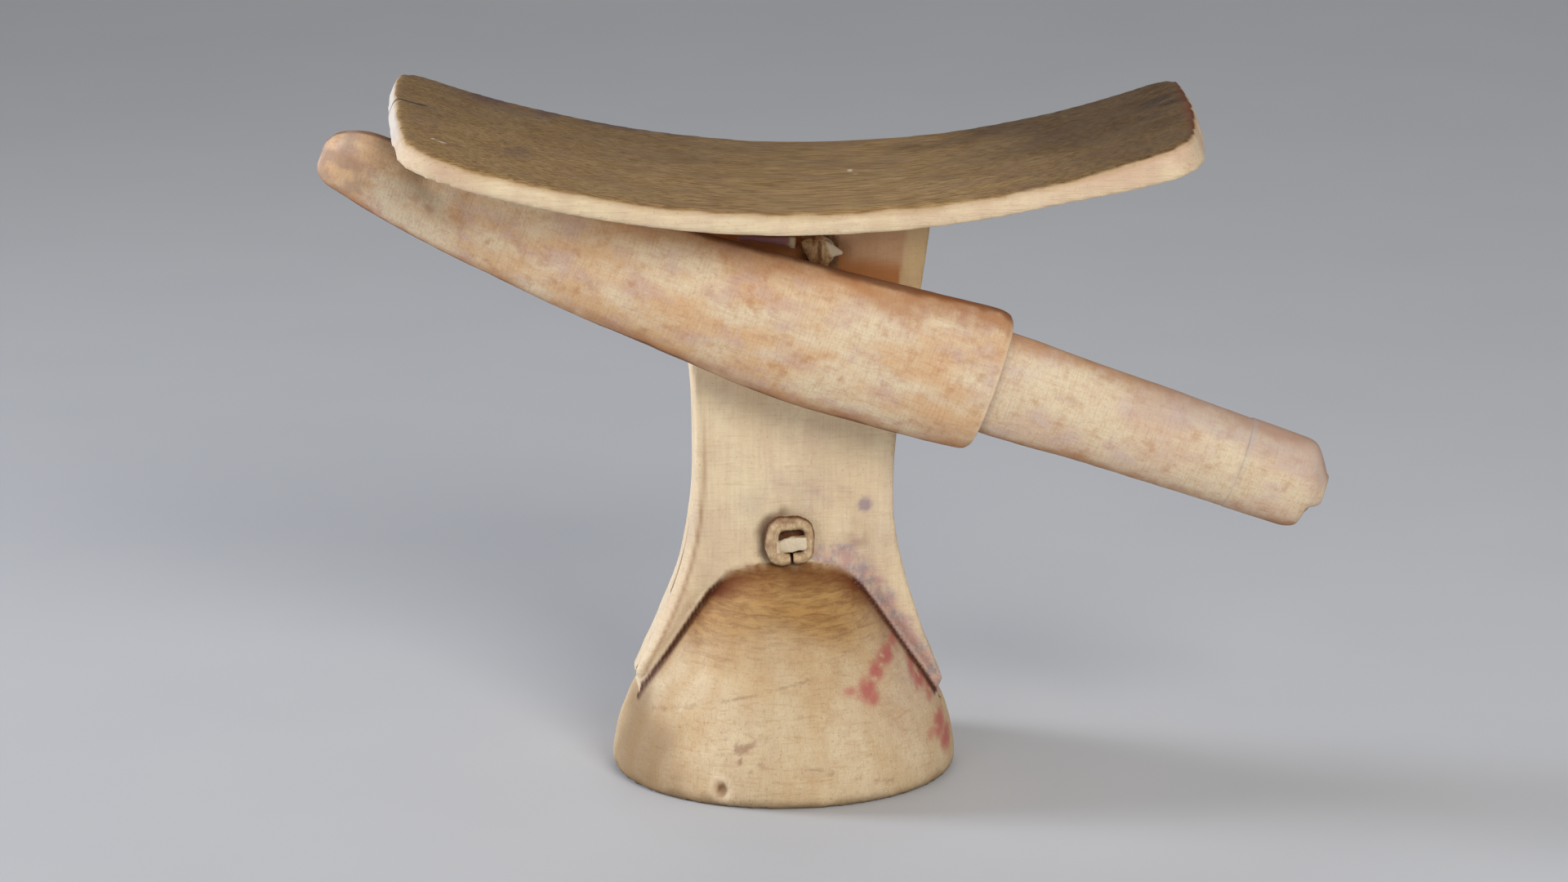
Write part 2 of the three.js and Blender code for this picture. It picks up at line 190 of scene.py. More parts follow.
def patches(points, size, seed, low, high):
    """Noise cut to patches, 0 where it is below low and 1 where it is above high."""
    return smoothstep(low, high, lumps(points, size, seed))


# ---------------------------------------------------------------- mesh helpers
def add_object(name, points, faces):
    """A smooth-shaded mesh object from points in millimetres in the row frame."""
    mesh = bpy.data.meshes.new(name)
    mesh.from_pydata((np.asarray(points) * MM).tolist(), [], faces)
    mesh.validate()
    mesh.update()
    mesh.shade_smooth()
    obj = bpy.data.objects.new(name, mesh)
    bpy.context.scene.collection.objects.link(obj)
    return obj


def points_of(obj):
    found = np.empty(len(obj.data.vertices) * 3, np.float32)
    obj.data.vertices.foreach_get("co", found)
    return found.reshape(-1, 3).astype(float) / MM


def normals_of(obj):
    found = np.empty(len(obj.data.vertices) * 3, np.float32)
    obj.data.vertex_normals.foreach_get("vector", found)
    return found.reshape(-1, 3).astype(float)


def move_points(obj, points):
    obj.data.vertices.foreach_set("co", (points * MM).astype(np.float32).ravel())
    obj.data.update()


def add_masks(obj, **masks):
    """Stores each mask by name, as one value from 0 to 1 a point, for the materials to read."""
    for name, values in masks.items():
        attribute = obj.data.attributes.new(name, "FLOAT", "POINT")
        attribute.data.foreach_set("value", np.clip(values, 0, 1).astype(np.float32))


def settle(obj):
    """Applies the object's modifiers to its mesh."""
    graph = bpy.context.evaluated_depsgraph_get()
    mesh = bpy.data.meshes.new_from_object(obj.evaluated_get(graph))
    old = obj.data
    obj.modifiers.clear()
    obj.data = mesh
    mesh.name = obj.name
    bpy.data.meshes.remove(old)
    mesh.shade_smooth()


def remesh(obj, size_mm, smooth_steps):
    """Joins the object's closed shells into one even skin, a little softened."""
    voxels = obj.modifiers.new("voxels", "REMESH")
    voxels.mode = "VOXEL"
    voxels.voxel_size = size_mm * MM
    soften = obj.modifiers.new("soften", "SMOOTH")
    soften.factor = 0.5
    soften.iterations = smooth_steps
    settle(obj)


def cut(obj, tools):
    for tool in tools:
        boolean = obj.modifiers.new("cut", "BOOLEAN")
        boolean.operation = "DIFFERENCE"
        boolean.solver = "EXACT"
        boolean.object = tool
    settle(obj)
    for tool in tools:
        bpy.data.objects.remove(tool)


def stand_in(obj, node, body):
    """Tells the frame which node the object replaces and its body."""
    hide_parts(node)
    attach(obj, body)


def ring_faces(rings, around):
    """Quads between neighbouring rings of points."""
    faces = []
    for r in range(rings - 1):
        a, b = r * around, (r + 1) * around
        for k in range(around):
            n = (k + 1) % around
            faces.append((a + k, a + n, b + n, b + k))
    return faces


def capped(rings):
    """A closed shell from a list of rings of points: (points, faces)."""
    around = len(rings[0])
    faces = ring_faces(len(rings), around)
    points = np.concatenate([*rings, [rings[0].mean(0)], [rings[-1].mean(0)]])
    last = len(rings) * around
    top = last - around
    for k in range(around):
        n = (k + 1) % around
        faces.append((last, n, k))
        faces.append((last + 1, top + k, top + n))
    return points, faces


def looped(rings):
    """A closed shell whose last ring of points meets its first: (points, faces)."""
    around = len(rings[0])
    faces = ring_faces(len(rings), around)
    last = (len(rings) - 1) * around
    for k in range(around):
        n = (k + 1) % around
        faces.append((last + k, last + n, n, k))
    return np.concatenate(rings), faces


def joined(shells):
    """Several (points, faces) as one."""
    points, faces, count = [], [], 0
    for p, f in shells:
        points.append(np.asarray(p, float))
        faces += [tuple(i + count for i in face) for face in f]
        count += len(p)
    return np.concatenate(points), faces


def full_turn(count):
    """That many even angles round a circle."""
    return np.linspace(0, 2 * math.pi, count, endpoint=False)


def unit_oval(count, power):
    """Sideways and upward places round a circle, squarer with a power over 2."""
    c, s = np.cos(full_turn(count)), np.sin(full_turn(count))
    return np.sign(c) * np.abs(c) ** (2 / power), np.sign(s) * np.abs(s) ** (2 / power)


def drum(x, z, radius, y_from, y_to):
    """A cylinder along Y."""
    turn = full_turn(32)
    rings = [
        np.stack([x + radius * np.cos(turn), np.full(len(turn), y), z + radius * np.sin(turn)], 1)
        for y in (y_from, y_to)
    ]
    return capped(rings)


def in_knife_frame(points):
    turn = np.array(KNIFE_FRAME)
    return np.asarray(points) @ turn[:3, :3].T + turn[:3, 3]


def sweep(path, widths, depths, sides, power=2.0, twist=0.0, up=(0, 1, 0)):
    """A shell along a line of points. Its section is an oval of those half sizes, squarer with a
    higher power, and turned by twist radians from one end to the other."""
    path = np.asarray(path, float)
    widths, depths = (np.broadcast_to(half, (len(path),)) for half in (widths, depths))
    ahead = np.gradient(path, axis=0)
    ahead /= np.linalg.norm(ahead, axis=1)[:, None]
    side = np.cross(ahead, np.array(up, float))
    side /= np.linalg.norm(side, axis=1)[:, None]
    other = np.cross(side, ahead)
    c, s = unit_oval(sides, power)
    rings = []
    for i, place in enumerate(path):
        a = twist * i / (len(path) - 1)
        x, y = widths[i] * c, depths[i] * s
        u = x * math.cos(a) - y * math.sin(a)
        v = x * math.sin(a) + y * math.cos(a)
        rings.append(place + u[:, None] * side[i] + v[:, None] * other[i])
    return capped(rings)


def smooth_line(points, steps):
    """A Catmull-Rom line through points, with that many steps for each."""
    p = np.asarray(points, float)
    p = np.concatenate([[2 * p[0] - p[1]], p, [2 * p[-1] - p[-2]]])
    line = []
    for i in range(1, len(p) - 2):
        for k in range(steps):
            t = k / steps
            line.append(0.5 * (
                2 * p[i] + (p[i + 1] - p[i - 1]) * t
                + (2 * p[i - 1] - 5 * p[i] + 4 * p[i + 1] - p[i + 2]) * t**2
                + (3 * p[i] - p[i - 1] - 3 * p[i + 1] + p[i + 2]) * t**3
            ))
    line.append(p[-2])
    return np.array(line)


# ---------------------------------------------------------------- headrest: shape
def across_crest(y):
    """From -1 at the board's front edge to 1 at its back edge."""
    return np.clip((y - CREST_Y) / CREST_HALF_DEPTH, -1, 1)


def crest_top(x, across):
    away = x - CREST_LOW_X
    left, right = (scale * np.abs(away) ** power for scale, power in CREST_RISES)
    return CREST_LOW_Z + np.where(away < 0, left, right) - CREST_TILT * x * across


def crest_thickness(x, across):
    belly = CREST_BELLY * (1 - across**2) * hill(x, 0, 40)
    return CREST_RIM + belly + 2.6 * smoothstep(55, 96, x) * (1 - across) / 2


def crest_shell():
    """The board as top and bottom grids, closed by its rim."""
    nx, ny = 150, 64
    u, w = np.meshgrid(np.linspace(0, 1, nx), np.linspace(-1, 1, ny), indexing="ij")
    across = np.sin(w * math.pi / 2)
    corner = np.where(across < 0, *CREST_CORNERS) * across**14
    left = CREST_LEFT_X + 2 * across**2 + corner
    right = CREST_RIGHT_X + 3 * across - 2 * across**2 - 6 * across**14
    x = left + (right - left) * u
    slope = (crest_top(x + 1, across) - crest_top(x - 1, across)) / 2
    length = np.hypot(1, slope)
    y = CREST_Y + CREST_HALF_DEPTH * across
    z = crest_top(x, across)
    thick = crest_thickness(x, across)
    top = np.stack([x, y, z], -1).reshape(-1, 3)
    bottom = np.stack([x + thick * slope / length, y, z - thick / length], -1).reshape(-1, 3)
    faces = []
    n = nx * ny
    for i in range(nx - 1):
        for j in range(ny - 1):
            a, b, c, d = i * ny + j, (i + 1) * ny + j, (i + 1) * ny + j + 1, i * ny + j + 1
            faces += [(a, b, c, d), (n + a, n + d, n + c, n + b)]
    edge = [i * ny for i in range(nx)]
    edge += [(nx - 1) * ny + j for j in range(1, ny)]
    edge += [i * ny + ny - 1 for i in range(nx - 2, -1, -1)]
    edge += [j for j in range(ny - 2, 0, -1)]
    for a, b in zip(edge, edge[1:] + edge[:1]):
        faces.append((a, n + a, n + b, b))
    return np.concatenate([top, bottom]), faces


def stem_edges():
    """(z, x) lines of the stem's left and right edges, from the leg's tip up."""
    left = np.concatenate([
        [(-35.8, 20.4)],
        bezier((-22.4, 78), (-22.6, 52), (-30.5, 40), (-37.2, 24.6))[::-1],
        bezier((-32, 147), (-25, 122), (-22.2, 104), (-22.4, 78))[::-1][1:],
    ])
    right = np.concatenate([
        [(37.2, 18.3)],
        bezier((39, 21.6), (33.5, 36), (26.4, 52), (26.3, 70)),
        bezier((26.3, 70), (26.2, 92), (32.6, 112), (36.5, 147))[1:],
    ])
    return left[:, ::-1], right[:, ::-1]


STEM_LEFT, STEM_RIGHT = stem_edges()


def stem_half_widths(z):
    return np.interp(z, *STEM_LEFT.T), np.interp(z, *STEM_RIGHT.T)


def stem_shell():
    """Stacked sections, with the front right arris planed off towards the crest."""
    front, back, round_off = STEM_FRONT_Y, STEM_BACK_Y, 0.9
    rings = []
    for z in np.linspace(STEM_RIGHT[0, 0], STEM_TOP_Z, 160):
        left, right = stem_half_widths(z)
        if z < STEM_LEFT[0, 0]:
            left = -30  # inside the foot, which the left leg's tip stops short of
        bevel = 0.8 + 4.4 * float(smoothstep(100, 136, z))
        drop = 0.6 + 1.3 * float(smoothstep(100, 136, z))
        ring = [
            (left, front + round_off), (left + round_off, front), (left + 6, front),
            (right - bevel - 4, front), (right - bevel, front), (right, front + drop),
            (right, back - round_off), (right - round_off, back), (0, back),
            (left + round_off, back), (left, back - round_off), (left, (front + back) / 2),
        ]
        rings.append(np.array([(x, y, z) for x, y in ring]))
    return capped(rings)


def foot_outline():
    return np.concatenate([
        [(0, 0), (30, 0), (40.6, 0), (41.7, 0.25), (42.2, 1.2)],
        bezier((42.4, 3.5), (42, 12), (37.6, 20), (33, 26.5)),
        bezier((33, 26.5), (27, 35), (22, 44.5), (16.2, 51))[1:],
        bezier((16.2, 51), (14.5, 52.9), (9, 53.8), (0, 53.8))[1:],
    ])


FOOT_OUTLINE = foot_outline()


def foot_shell():
    """Rings up the foot's outline, a little lobed above its flat base."""
    turn = full_turn(144)
    rings = []
    for radius, z in FOOT_OUTLINE[1:-1]:
        lobe = 1 + 0.006 * np.sin(3 * turn + 1) + 0.004 * np.sin(5 * turn)
        r = radius * (1 + (lobe - 1) * smoothstep(0, 12, z))
        rings.append(np.stack([
            r * np.cos(turn), FOOT_SQUASH * r * np.sin(turn), np.full(len(turn), z),
        ], 1))
    return capped(rings)


def foot_radius(z):
    return np.interp(z, FOOT_OUTLINE[3:, 1], FOOT_OUTLINE[3:, 0])


def arch_line():
    """Where the foot's surface passes out through the stem's front, as (x, z) points."""
    z = np.linspace(17, FOOT_OUTLINE[-1, 1], 500)
    inside = foot_radius(z) ** 2 - (STEM_FRONT_Y / FOOT_SQUASH) ** 2
    z, x = z[inside > 0], np.sqrt(inside[inside > 0])
    half = np.stack([x, z], 1)
    return np.concatenate([half * [-1, 1], half[::-1]])


ARCH = arch_line()


def from_arch(points):
    """How far each point is outside the arch, seen from the front, negative inside it."""
    flat = points[:, [0, 2]]
    distance = np.full(len(points), 1e9)
    for place in ARCH[::4]:
        distance = np.minimum(distance, np.hypot(*(flat - place).T))
    inside = np.hypot(points[:, 0], STEM_FRONT_Y / FOOT_SQUASH) < foot_radius(points[:, 2])
    inside = inside & (points[:, 2] < FOOT_OUTLINE[-1, 1])
    return np.where(inside, -distance, distance)


def tool_marks(points, normals):
    """Shallow facets and ridges that a knife leaves, different on each part."""
    z = points[:, 2]
    on_foot = 1 - smoothstep(50, 60, z)
    on_crest = smoothstep(142, 148, z)
    on_stem = 1 - np.maximum(on_foot, on_crest)
    broad = lumps(points, (16, 16, 11), 3)
    scrapes = lumps(points, (3.2, 3.2, 22), 5)
    along_crest = lumps(points, (26, 3.4, 8), 8)
    arcs = lumps(points, (10, 10, 3.2), 11)
    depth = (
        on_foot * (0.34 * broad + 0.13 * arcs)
        + on_stem * (0.16 * broad + 0.11 * scrapes)
        + on_crest * (0.14 * broad + 0.08 * along_crest)
    )
    depth = depth * smoothstep(0.2, 3.0, z)
    return points + normals * depth[:, None]


DEPTH_SPAN = 4.0  # millimetres below the crest's top that the "depth" mask covers
FLAT_BASE = 0.35  # points lower than this are pressed flat on the ground
LEG_BEVEL = 2.0  # how deep the bevel inside the legs is
LEG_CHAMFER = 2.2  # how wide the left leg's outer arris is planed off
GROOVE = 0.9  # how deep and how wide the groove along the arch is
PIT = (-18.4, -35.4, 4.4)
# The crest's crack and scratches, as (x, y) points.
CREST_CRACK = [(-95.5, 0.6), (-93.3, 1), (-90.5, 1.5), (-86.6, 2)]
CREST_SCRATCHES = [[(-85.8, -29), (-83.2, -30)], [(15.7, -4), (16.2, -9)]]


def carve(points, normals):
    """The bevel inside the legs, the groove where they meet the foot, the left leg's planed
    arris, the crack in the crest and the pit."""
    points = points.copy()
    z = points[:, 2]
    outside = from_arch(points)
    distance = np.abs(outside)
    on_leg = (np.abs(points[:, 1] - STEM_FRONT_Y) < 1.5) & (outside > 0) & (z < 62)
    low = smoothstep(52, 48, z)
    bevel_wide = 3.2 + 0.4 * np.sin(z * 0.3)
    points[:, 1] += on_leg * np.clip(1 - distance / bevel_wide, 0, 1) * LEG_BEVEL * low
    in_front = points[:, 1] < STEM_FRONT_Y + 3
    from_left = points[:, 0] - stem_half_widths(z)[0]
    planed = np.clip(LEG_CHAMFER - from_left, 0, LEG_CHAMFER) * smoothstep(84, 44, z)
    planed = planed * in_front * (z > 21) * smoothstep(-1.5, -0.2, from_left)
    points[:, 1] += 0.8 * planed
    points[:, 1] += GROOVE * hill(distance, 0, GROOVE) * in_front * (z > 19) * low
    crack = near_line(points[:, :2], CREST_CRACK, 1.1) * smoothstep(0.5, 0.8, normals[:, 2])
    points = points - normals * (0.9 * crack * (z > 150))[:, None]
    from_pit = np.linalg.norm((points - np.array(PIT)) / np.array([1.3, 2.4, 1.6]), axis=1)
    pit = 1.7 * hill(from_pit, 0, 1) - 0.3 * hill(from_pit, 1.7, 0.6)
    return points - normals * pit[:, None]


def relax(obj, weights, steps):
    """Evens out the skin, by weight, without moving the rest."""
    edges = np.empty(len(obj.data.edges) * 2, np.int32)
    obj.data.edges.foreach_get("vertices", edges)
    a, b = edges.reshape(-1, 2).T
    points = points_of(obj)
    count = np.bincount(a, minlength=len(points)) + np.bincount(b, minlength=len(points))
    for _ in range(steps):
        total = np.zeros_like(points)
        np.add.at(total, a, points[b])
        np.add.at(total, b, points[a])
        points += (total / count[:, None] - points) * (0.5 * weights)[:, None]
    move_points(obj, points)


# Red dye on the foot's right: x and z of each splash's middle, its half sizes, and its strength.
DYE = [
    (18.2, 26.2, 2.4, 3.2, 1.0), (20.6, 29.2, 2.2, 2.4, 1.0), (23.6, 31.6, 2.8, 2.0, 1.0),
    (25.6, 33.4, 1.6, 1.6, 0.8), (19.6, 23.9, 1.5, 1.8, 0.9), (13.8, 26.2, 1.9, 1.1, 0.7),
    (30.8, 27.6, 1.5, 3.6, 0.9), (32.6, 24.2, 1.9, 2.6, 1.0), (35.0, 20.8, 1.3, 2.4, 0.8),
    (37.0, 13.2, 1.8, 3.2, 1.0), (38.8, 9.2, 1.8, 3.0, 1.0), (34.6, 12.2, 1.4, 1.6, 0.6),
    (27.5, 35.5, 1.6, 3.4, 0.5), (16.2, 24.8, 1.2, 0.9, 0.6),
]
# Fine drying cracks on the foot, as (x, z) points.
FOOT_CRACKS = [
    [(-33.5, 19.3), (-22.2, 23.2), (-8.6, 26.6), (5.5, 29.9)],
    [(1.6, 10.4), (12.7, 7.2), (25.2, 4.4)],
]


def near_line(flat, line, width):
    """1 on a smooth line through points, fading to 0 at that width from it."""
    distance = np.full(len(flat), 1e9)
    for place in smooth_line(line, 30):
        distance = np.minimum(distance, np.hypot(*(flat - place).T))
    return smoothstep(width, 0.2 * width, distance)


def paint_crest(obj, points, normals):
    """Masks for the board. The shader reads "depth" to find the handled top."""
    x, y, z = points.T
    flat = points[:, :2]
    across = across_crest(y)
    below_top = crest_top(x, across) - z
    on_crest = smoothstep(141.5, 143, z)
    rim = on_crest * smoothstep(0.4, 1.2, below_top)
    # Painted shade: the top grows darker towards the board's back, away from the light. The
    # darkening to the right is the wood's own stain.
    rearward = smoothstep(-0.6, 1.0, across + 0.3 * lumps(points, (40, 14, 30), 23))
    rightward = smoothstep(15, 88, x + 14 * lumps(points, (20, 9, 20), 24))
    blush = rim * smoothstep(20, 88, x) + 0.7 * rim * smoothstep(-72, -84, x) * (y < -20)
    # A painted highlight: the left end face painted pale where the light from the left falls on it.
    pale_end = smoothstep(-0.6, -0.85, normals[:, 0]) * (x < -80) * smoothstep(-38, -16, y)
    rear_streak = smoothstep(-12, -38, x) * smoothstep(-86, -70, x)
    dyed = spot(x, y, (-66, -17), (3.2, 5)) + smoothstep(0.66, 0.95, across) * rear_streak
    add_masks(
        obj,
        crest=on_crest,
        depth=below_top / DEPTH_SPAN,
        darkened=np.minimum(0.42 * rearward + 0.85 * rightward, 1),
        blotch=spot(x, y, (93, 4), (8, 22)) * patches(points, (5, 2.5, 5), 25, -0.4, 0.6),
        reddish=smoothstep(3.0, 0.8, CREST_RIGHT_X + 3 * across - x) * smoothstep(60, 80, x),
        blush=blush * patches(points, (9, 5, 5), 61, -0.8, 0.6),
        pale_end=pale_end * on_crest,
        dyed=dyed * patches(points, (6, 2, 3), 62, -0.7, 0.5),
        crack=near_line(flat, CREST_CRACK, 1.0) * (z > 160),
        scratch=sum(near_line(flat, line, 0.45) for line in CREST_SCRATCHES),
    )


def paint_foot(obj, points):
    """Masks for the foot: old dirt at its base, painted shade on its left side, dye, drying cracks,
    and the pit with painted shade inside and a painted highlight round it.
    """
    x, y, z = points.T
    outside = from_arch(points)
    left, right = stem_half_widths(z)
    softness = 0.5 + 1.6 * smoothstep(48, 52, z)
    dome = smoothstep(0.6, -1, (outside + 0.3 * lumps(points, 1.5, 60)) / softness)
    dome = dome * (y < STEM_FRONT_Y + 2)
    beside_stem = (x < left - 0.4) | (x > right + 0.4)
    before_or_behind = (y < STEM_FRONT_Y - 1.5) | (y > STEM_BACK_Y + 1.0)
    outside_stem = (z < 52) & (beside_stem | before_or_behind | (z < 18))
    on_foot = np.maximum(dome, outside_stem)
    ragged = lumps(points, 7, 26)
    paint_arch(obj, points, outside, dome, ragged, on_foot)
    dye = np.zeros(len(x))
    for middle_x, middle_z, wide, tall, strength in DYE:
        spread = ((x - middle_x) / wide) ** 2 + ((z - middle_z) / tall) ** 2
        dye = np.maximum(dye, strength * np.exp(-(spread**2)))
    broken = smoothstep(-0.9, -0.1, lumps(points, 1.9, 30) + 0.4 * lumps(points, 0.9, 31))
    cracks = np.maximum.reduce([near_line(points[:, [0, 2]], line, 0.4) for line in FOOT_CRACKS])
    # Painted shade: a darker brown band low on the foot's left front, the side turned from the key
    # light.
    brown_left = smoothstep(-22, -37, x + 3 * ragged) * smoothstep(34, 14, z + 4 * ragged)
    specks = patches(points, 1.2, 36, 0.25, 0.6) * spot(x, z, (-13, 12), (5, 8))
    from_pit = np.linalg.norm((points - np.array(PIT)) / np.array([1.5, 3, 1.9]), axis=1)
    add_masks(
        obj,
        foot=on_foot,
        pink=dye * broken * (y < 6) * on_foot,
        hairline=cracks * patches(points, 3, 35, -0.5, 0.3) * on_foot * (y < 0),
        grimy=brown_left * on_foot * smoothstep(9, -9, y + 4 * ragged),
        specks=specks * on_foot * (y < 0),
        # Painted shade inside the pit, and a painted highlight round its rim.
        pit=smoothstep(1.1, 0.3, from_pit),
        pit_rim=hill(from_pit, 1.6, 0.45),
        base_dirt=smoothstep(3.2, 0.2, z + lumps(points, 4, 37)),
    )


def paint_arch(obj, points, outside, dome, ragged, on_foot):
    """Masks for the arch over the foot: its amber dome, a red-brown stain along its line partly
    darkened as painted shade under the stem's lip, painted shade in the crease, the lower knot's
    painted shadow on the stem and the left leg's planed arris."""
    x, y, z = points.T
    distance = np.abs(outside)
    in_front = y < STEM_FRONT_Y + 3
    leg = in_front & (outside > 0) & (z > 17) & (z < 62) & (y > STEM_FRONT_Y - 1.5)
    band = 2.2 + 2.4 * smoothstep(0, 12, x) + 2.2 * hill(x, 17, 7) * (z > 40)
    violet = leg * smoothstep(1.3, 0.6, distance / band + 0.3 * lumps(points, 3, 28))
    violet = violet * smoothstep(-4, 10, x)
    tinge = spot(x, z, (29, 26), (9, 13)) * (y < 0)
    reach = 4 + 5 * smoothstep(44, 52, z)
    close = smoothstep(reach, 0.2, distance + 1.2 * lumps(points, (6, 6, 3), 27))
    shoulder = hill(np.abs(x), 16, 5) * smoothstep(40, 46, z)
    # Painted shade: a dark line in the groove where the legs meet the foot.
    crease = smoothstep(0.9, 0.25, distance) * in_front * (z > 18.5)
    knot_x, knot_z = LOWER_HOLE
    from_knot = np.hypot(x - knot_x + 1.0, z - knot_z - 0.2)
    # A painted shadow: the lower knot's shadow on the stem, to its left.
    halo = smoothstep(8.2, 6.2, from_knot + 0.8 * lumps(points, 2, 68)) * (outside > 0)
    arris = hill(x, stem_half_widths(z)[0] + LEG_CHAMFER, 0.5) * smoothstep(104, 70, z)
    add_masks(
        obj,
        amber=smoothstep(27, 46, z + 5 * ragged) * dome,
        # Red-brown ochre stain near the arch, darkest close to its line: partly the stain, partly
        # painted shade under the stem's lip.
        redbrown=dome * close * smoothstep(24, 46, z + 3 * ragged) * (0.7 + 0.3 * shoulder),
        crease=crease * smoothstep(53, 47, z),
        halo=halo * in_front * smoothstep(3, -4, x - knot_x),
        arris=arris * in_front * (outside > 1) * (z > 20),
        violet=np.maximum(violet, 0.3 * tinge * on_foot),
    )


def paint_stem(obj, points):
    """Masks for the stem's front: dye, a brown blotch, an orange-brown stain with painted shade
    just above the sheath and under the crest, and a painted highlight on the planed right arris.
    """
    x, y, z = points.T
    front = y < STEM_FRONT_Y + 2.5
    purple_spot = smoothstep(2.3, 1.3, np.hypot(x - 19.2, z - 67.3))
    smear = np.exp(-((((x - 9.5) / 7) ** 2 + ((z - 70) / 2.2) ** 2) ** 2))
    smear = smear * patches(points, 2.5, 32, -0.5, 0.6)
    under = smoothstep(86, 66, z) * smoothstep(52, 58, z) * patches(points, 7, 38, -0.2, 0.7)
    # Orange-brown just above the sheath's top edge, fading upwards, and over the stem's top under
    # the crest: a stain with painted shade where the parts meet.
    over = z - (126.6 - 0.33 * (x - 13))
    rub = smoothstep(13, 1, over + 2.5 * lumps(points, 6, 33)) * smoothstep(-26, -6, over)
    right = stem_half_widths(z)[1]
    # A painted highlight: the planed right arris under the crest painted lighter, as the light
    # catches it.
    chamfer = smoothstep(112, 120, z) * smoothstep(1.0, 2.0, x - (right - 7.2))
    chamfer = chamfer * (y < STEM_BACK_Y - 1)
    inner = np.maximum(rub, 0.55 * smoothstep(118, 128, z)) * (1 - chamfer)
    brown = spot(x, z, (17.5, 58.6), (3.5, 4)) * patches(points, 2, 39, -0.5, 0.5)
    add_masks(
        obj,
        purple=np.maximum.reduce([0.85 * purple_spot, 0.4 * smear, 0.22 * under]) * front,
        rubbed=inner * front * (z < 144) * (z > 60),
        chamfer=chamfer * (z < 144),
        brown=0.7 * brown * front,
    )


def soften_edges(obj, points):
    """Evens out the arch's line, more so at its top, and the crest's top edge."""
    x, y, z = points.T
    distance = np.abs(from_arch(points))
    in_front = y < 0
    relax(obj, smoothstep(3.2, 1.6, distance) * in_front * (z > 17), 8)
    relax(obj, smoothstep(5.5, 3, distance) * in_front * smoothstep(46, 50, z), 60)
    across = across_crest(y)
    edge = np.abs(crest_top(x, across) - z) < 2.5
    side = (np.abs(across) > 0.93) | (x < CREST_LEFT_X + 12) | (x > CREST_RIGHT_X - 6)
    relax(obj, 0.8 * (edge & side & (z > 145)), 10)


def build_headrest():
    """Crest, stem and foot as one skin, carved, worn, painted and drilled."""
    obj = add_object("headrest", *joined([crest_shell(), stem_shell(), foot_shell()]))
    remesh(obj, HEADREST_VOXEL, 2)
    points = points_of(obj)
    move_points(obj, carve(points, normals_of(obj)))
    soften_edges(obj, points)
    points = tool_marks(points_of(obj), normals_of(obj))
    points[:, 2] = np.where(points[:, 2] < FLAT_BASE, 0, points[:, 2])
    move_points(obj, points)
    paint_crest(obj, points, normals_of(obj))
    paint_foot(obj, points)
    paint_stem(obj, points)
    cut(obj, [
        add_object("drill", *drum(*hole, HOLE_R, STEM_FRONT_Y - 3, STEM_BACK_Y + 3))
        for hole in (LOWER_HOLE, UPPER_HOLE)
    ])
    stand_in(obj, "headrest_block", "headrest")
    return obj


# ---------------------------------------------------------------- thong and knots
def build_thong():
    """One rolled hide cord, a little uneven, with its edge winding round it."""
    line = smooth_line(THONG_ROUTE, 9)
    places = np.arange(len(line))
    radius = THONG_R * (1 + 0.035 * np.sin(places * 0.43) + 0.025 * np.sin(places * 1.1 + 2))
    cord = sweep(line, radius, radius[::-1], sides=28, power=2.2, twist=22, up=(1, 0.001, 0))
    obj = add_object("carrying_thong_hide", *cord)
    noise = lumps(points_of(obj), 1.6, 40)
    move_points(obj, points_of(obj) + normals_of(obj) * (0.1 * noise)[:, None])
    length = float(np.linalg.norm(np.diff(line, axis=0), axis=1).sum())
    stand_in(obj, "carrying_thong", "headrest")
    return obj, line, length


def knot_line(hole, back_y, points, steps=8):
    """A smooth line through points given from a hole's middle and the knot's back."""
    return smooth_line(np.array(points, float) + (hole[0], back_y, hole[1]), steps)


def build_knot(node, hole, back_y, shells, plate, seed):
    """A knot's shells, joined at the back by a round plate of that radius, thickness and number
    of sides, then softened together and roughened as hide. Gives the object, and each point's
    x from the hole, its y, and its z from the hole."""
    radius, thick, sides = plate
    middle = np.array([(0, -depth, 0) for depth in (0, thick / 2, thick)])
    middle = middle + (hole[0], back_y, hole[1])
    shells = shells + [sweep(middle, radius, radius, sides, up=(0, 0, 1))]
    obj = add_object(node + "_hide", *joined(shells))
    remesh(obj, KNOT_VOXEL, 4)
    points = points_of(obj)
    rough = 0.16 * lumps(points, 1.5, seed) + 0.06 * lumps(points, 0.5, seed + 1)
    move_points(obj, points + normals_of(obj) * rough[:, None])
    stand_in(obj, node, "headrest")
    x, y, z = points_of(obj).T
    return obj, x - hole[0], y, z - hole[1]


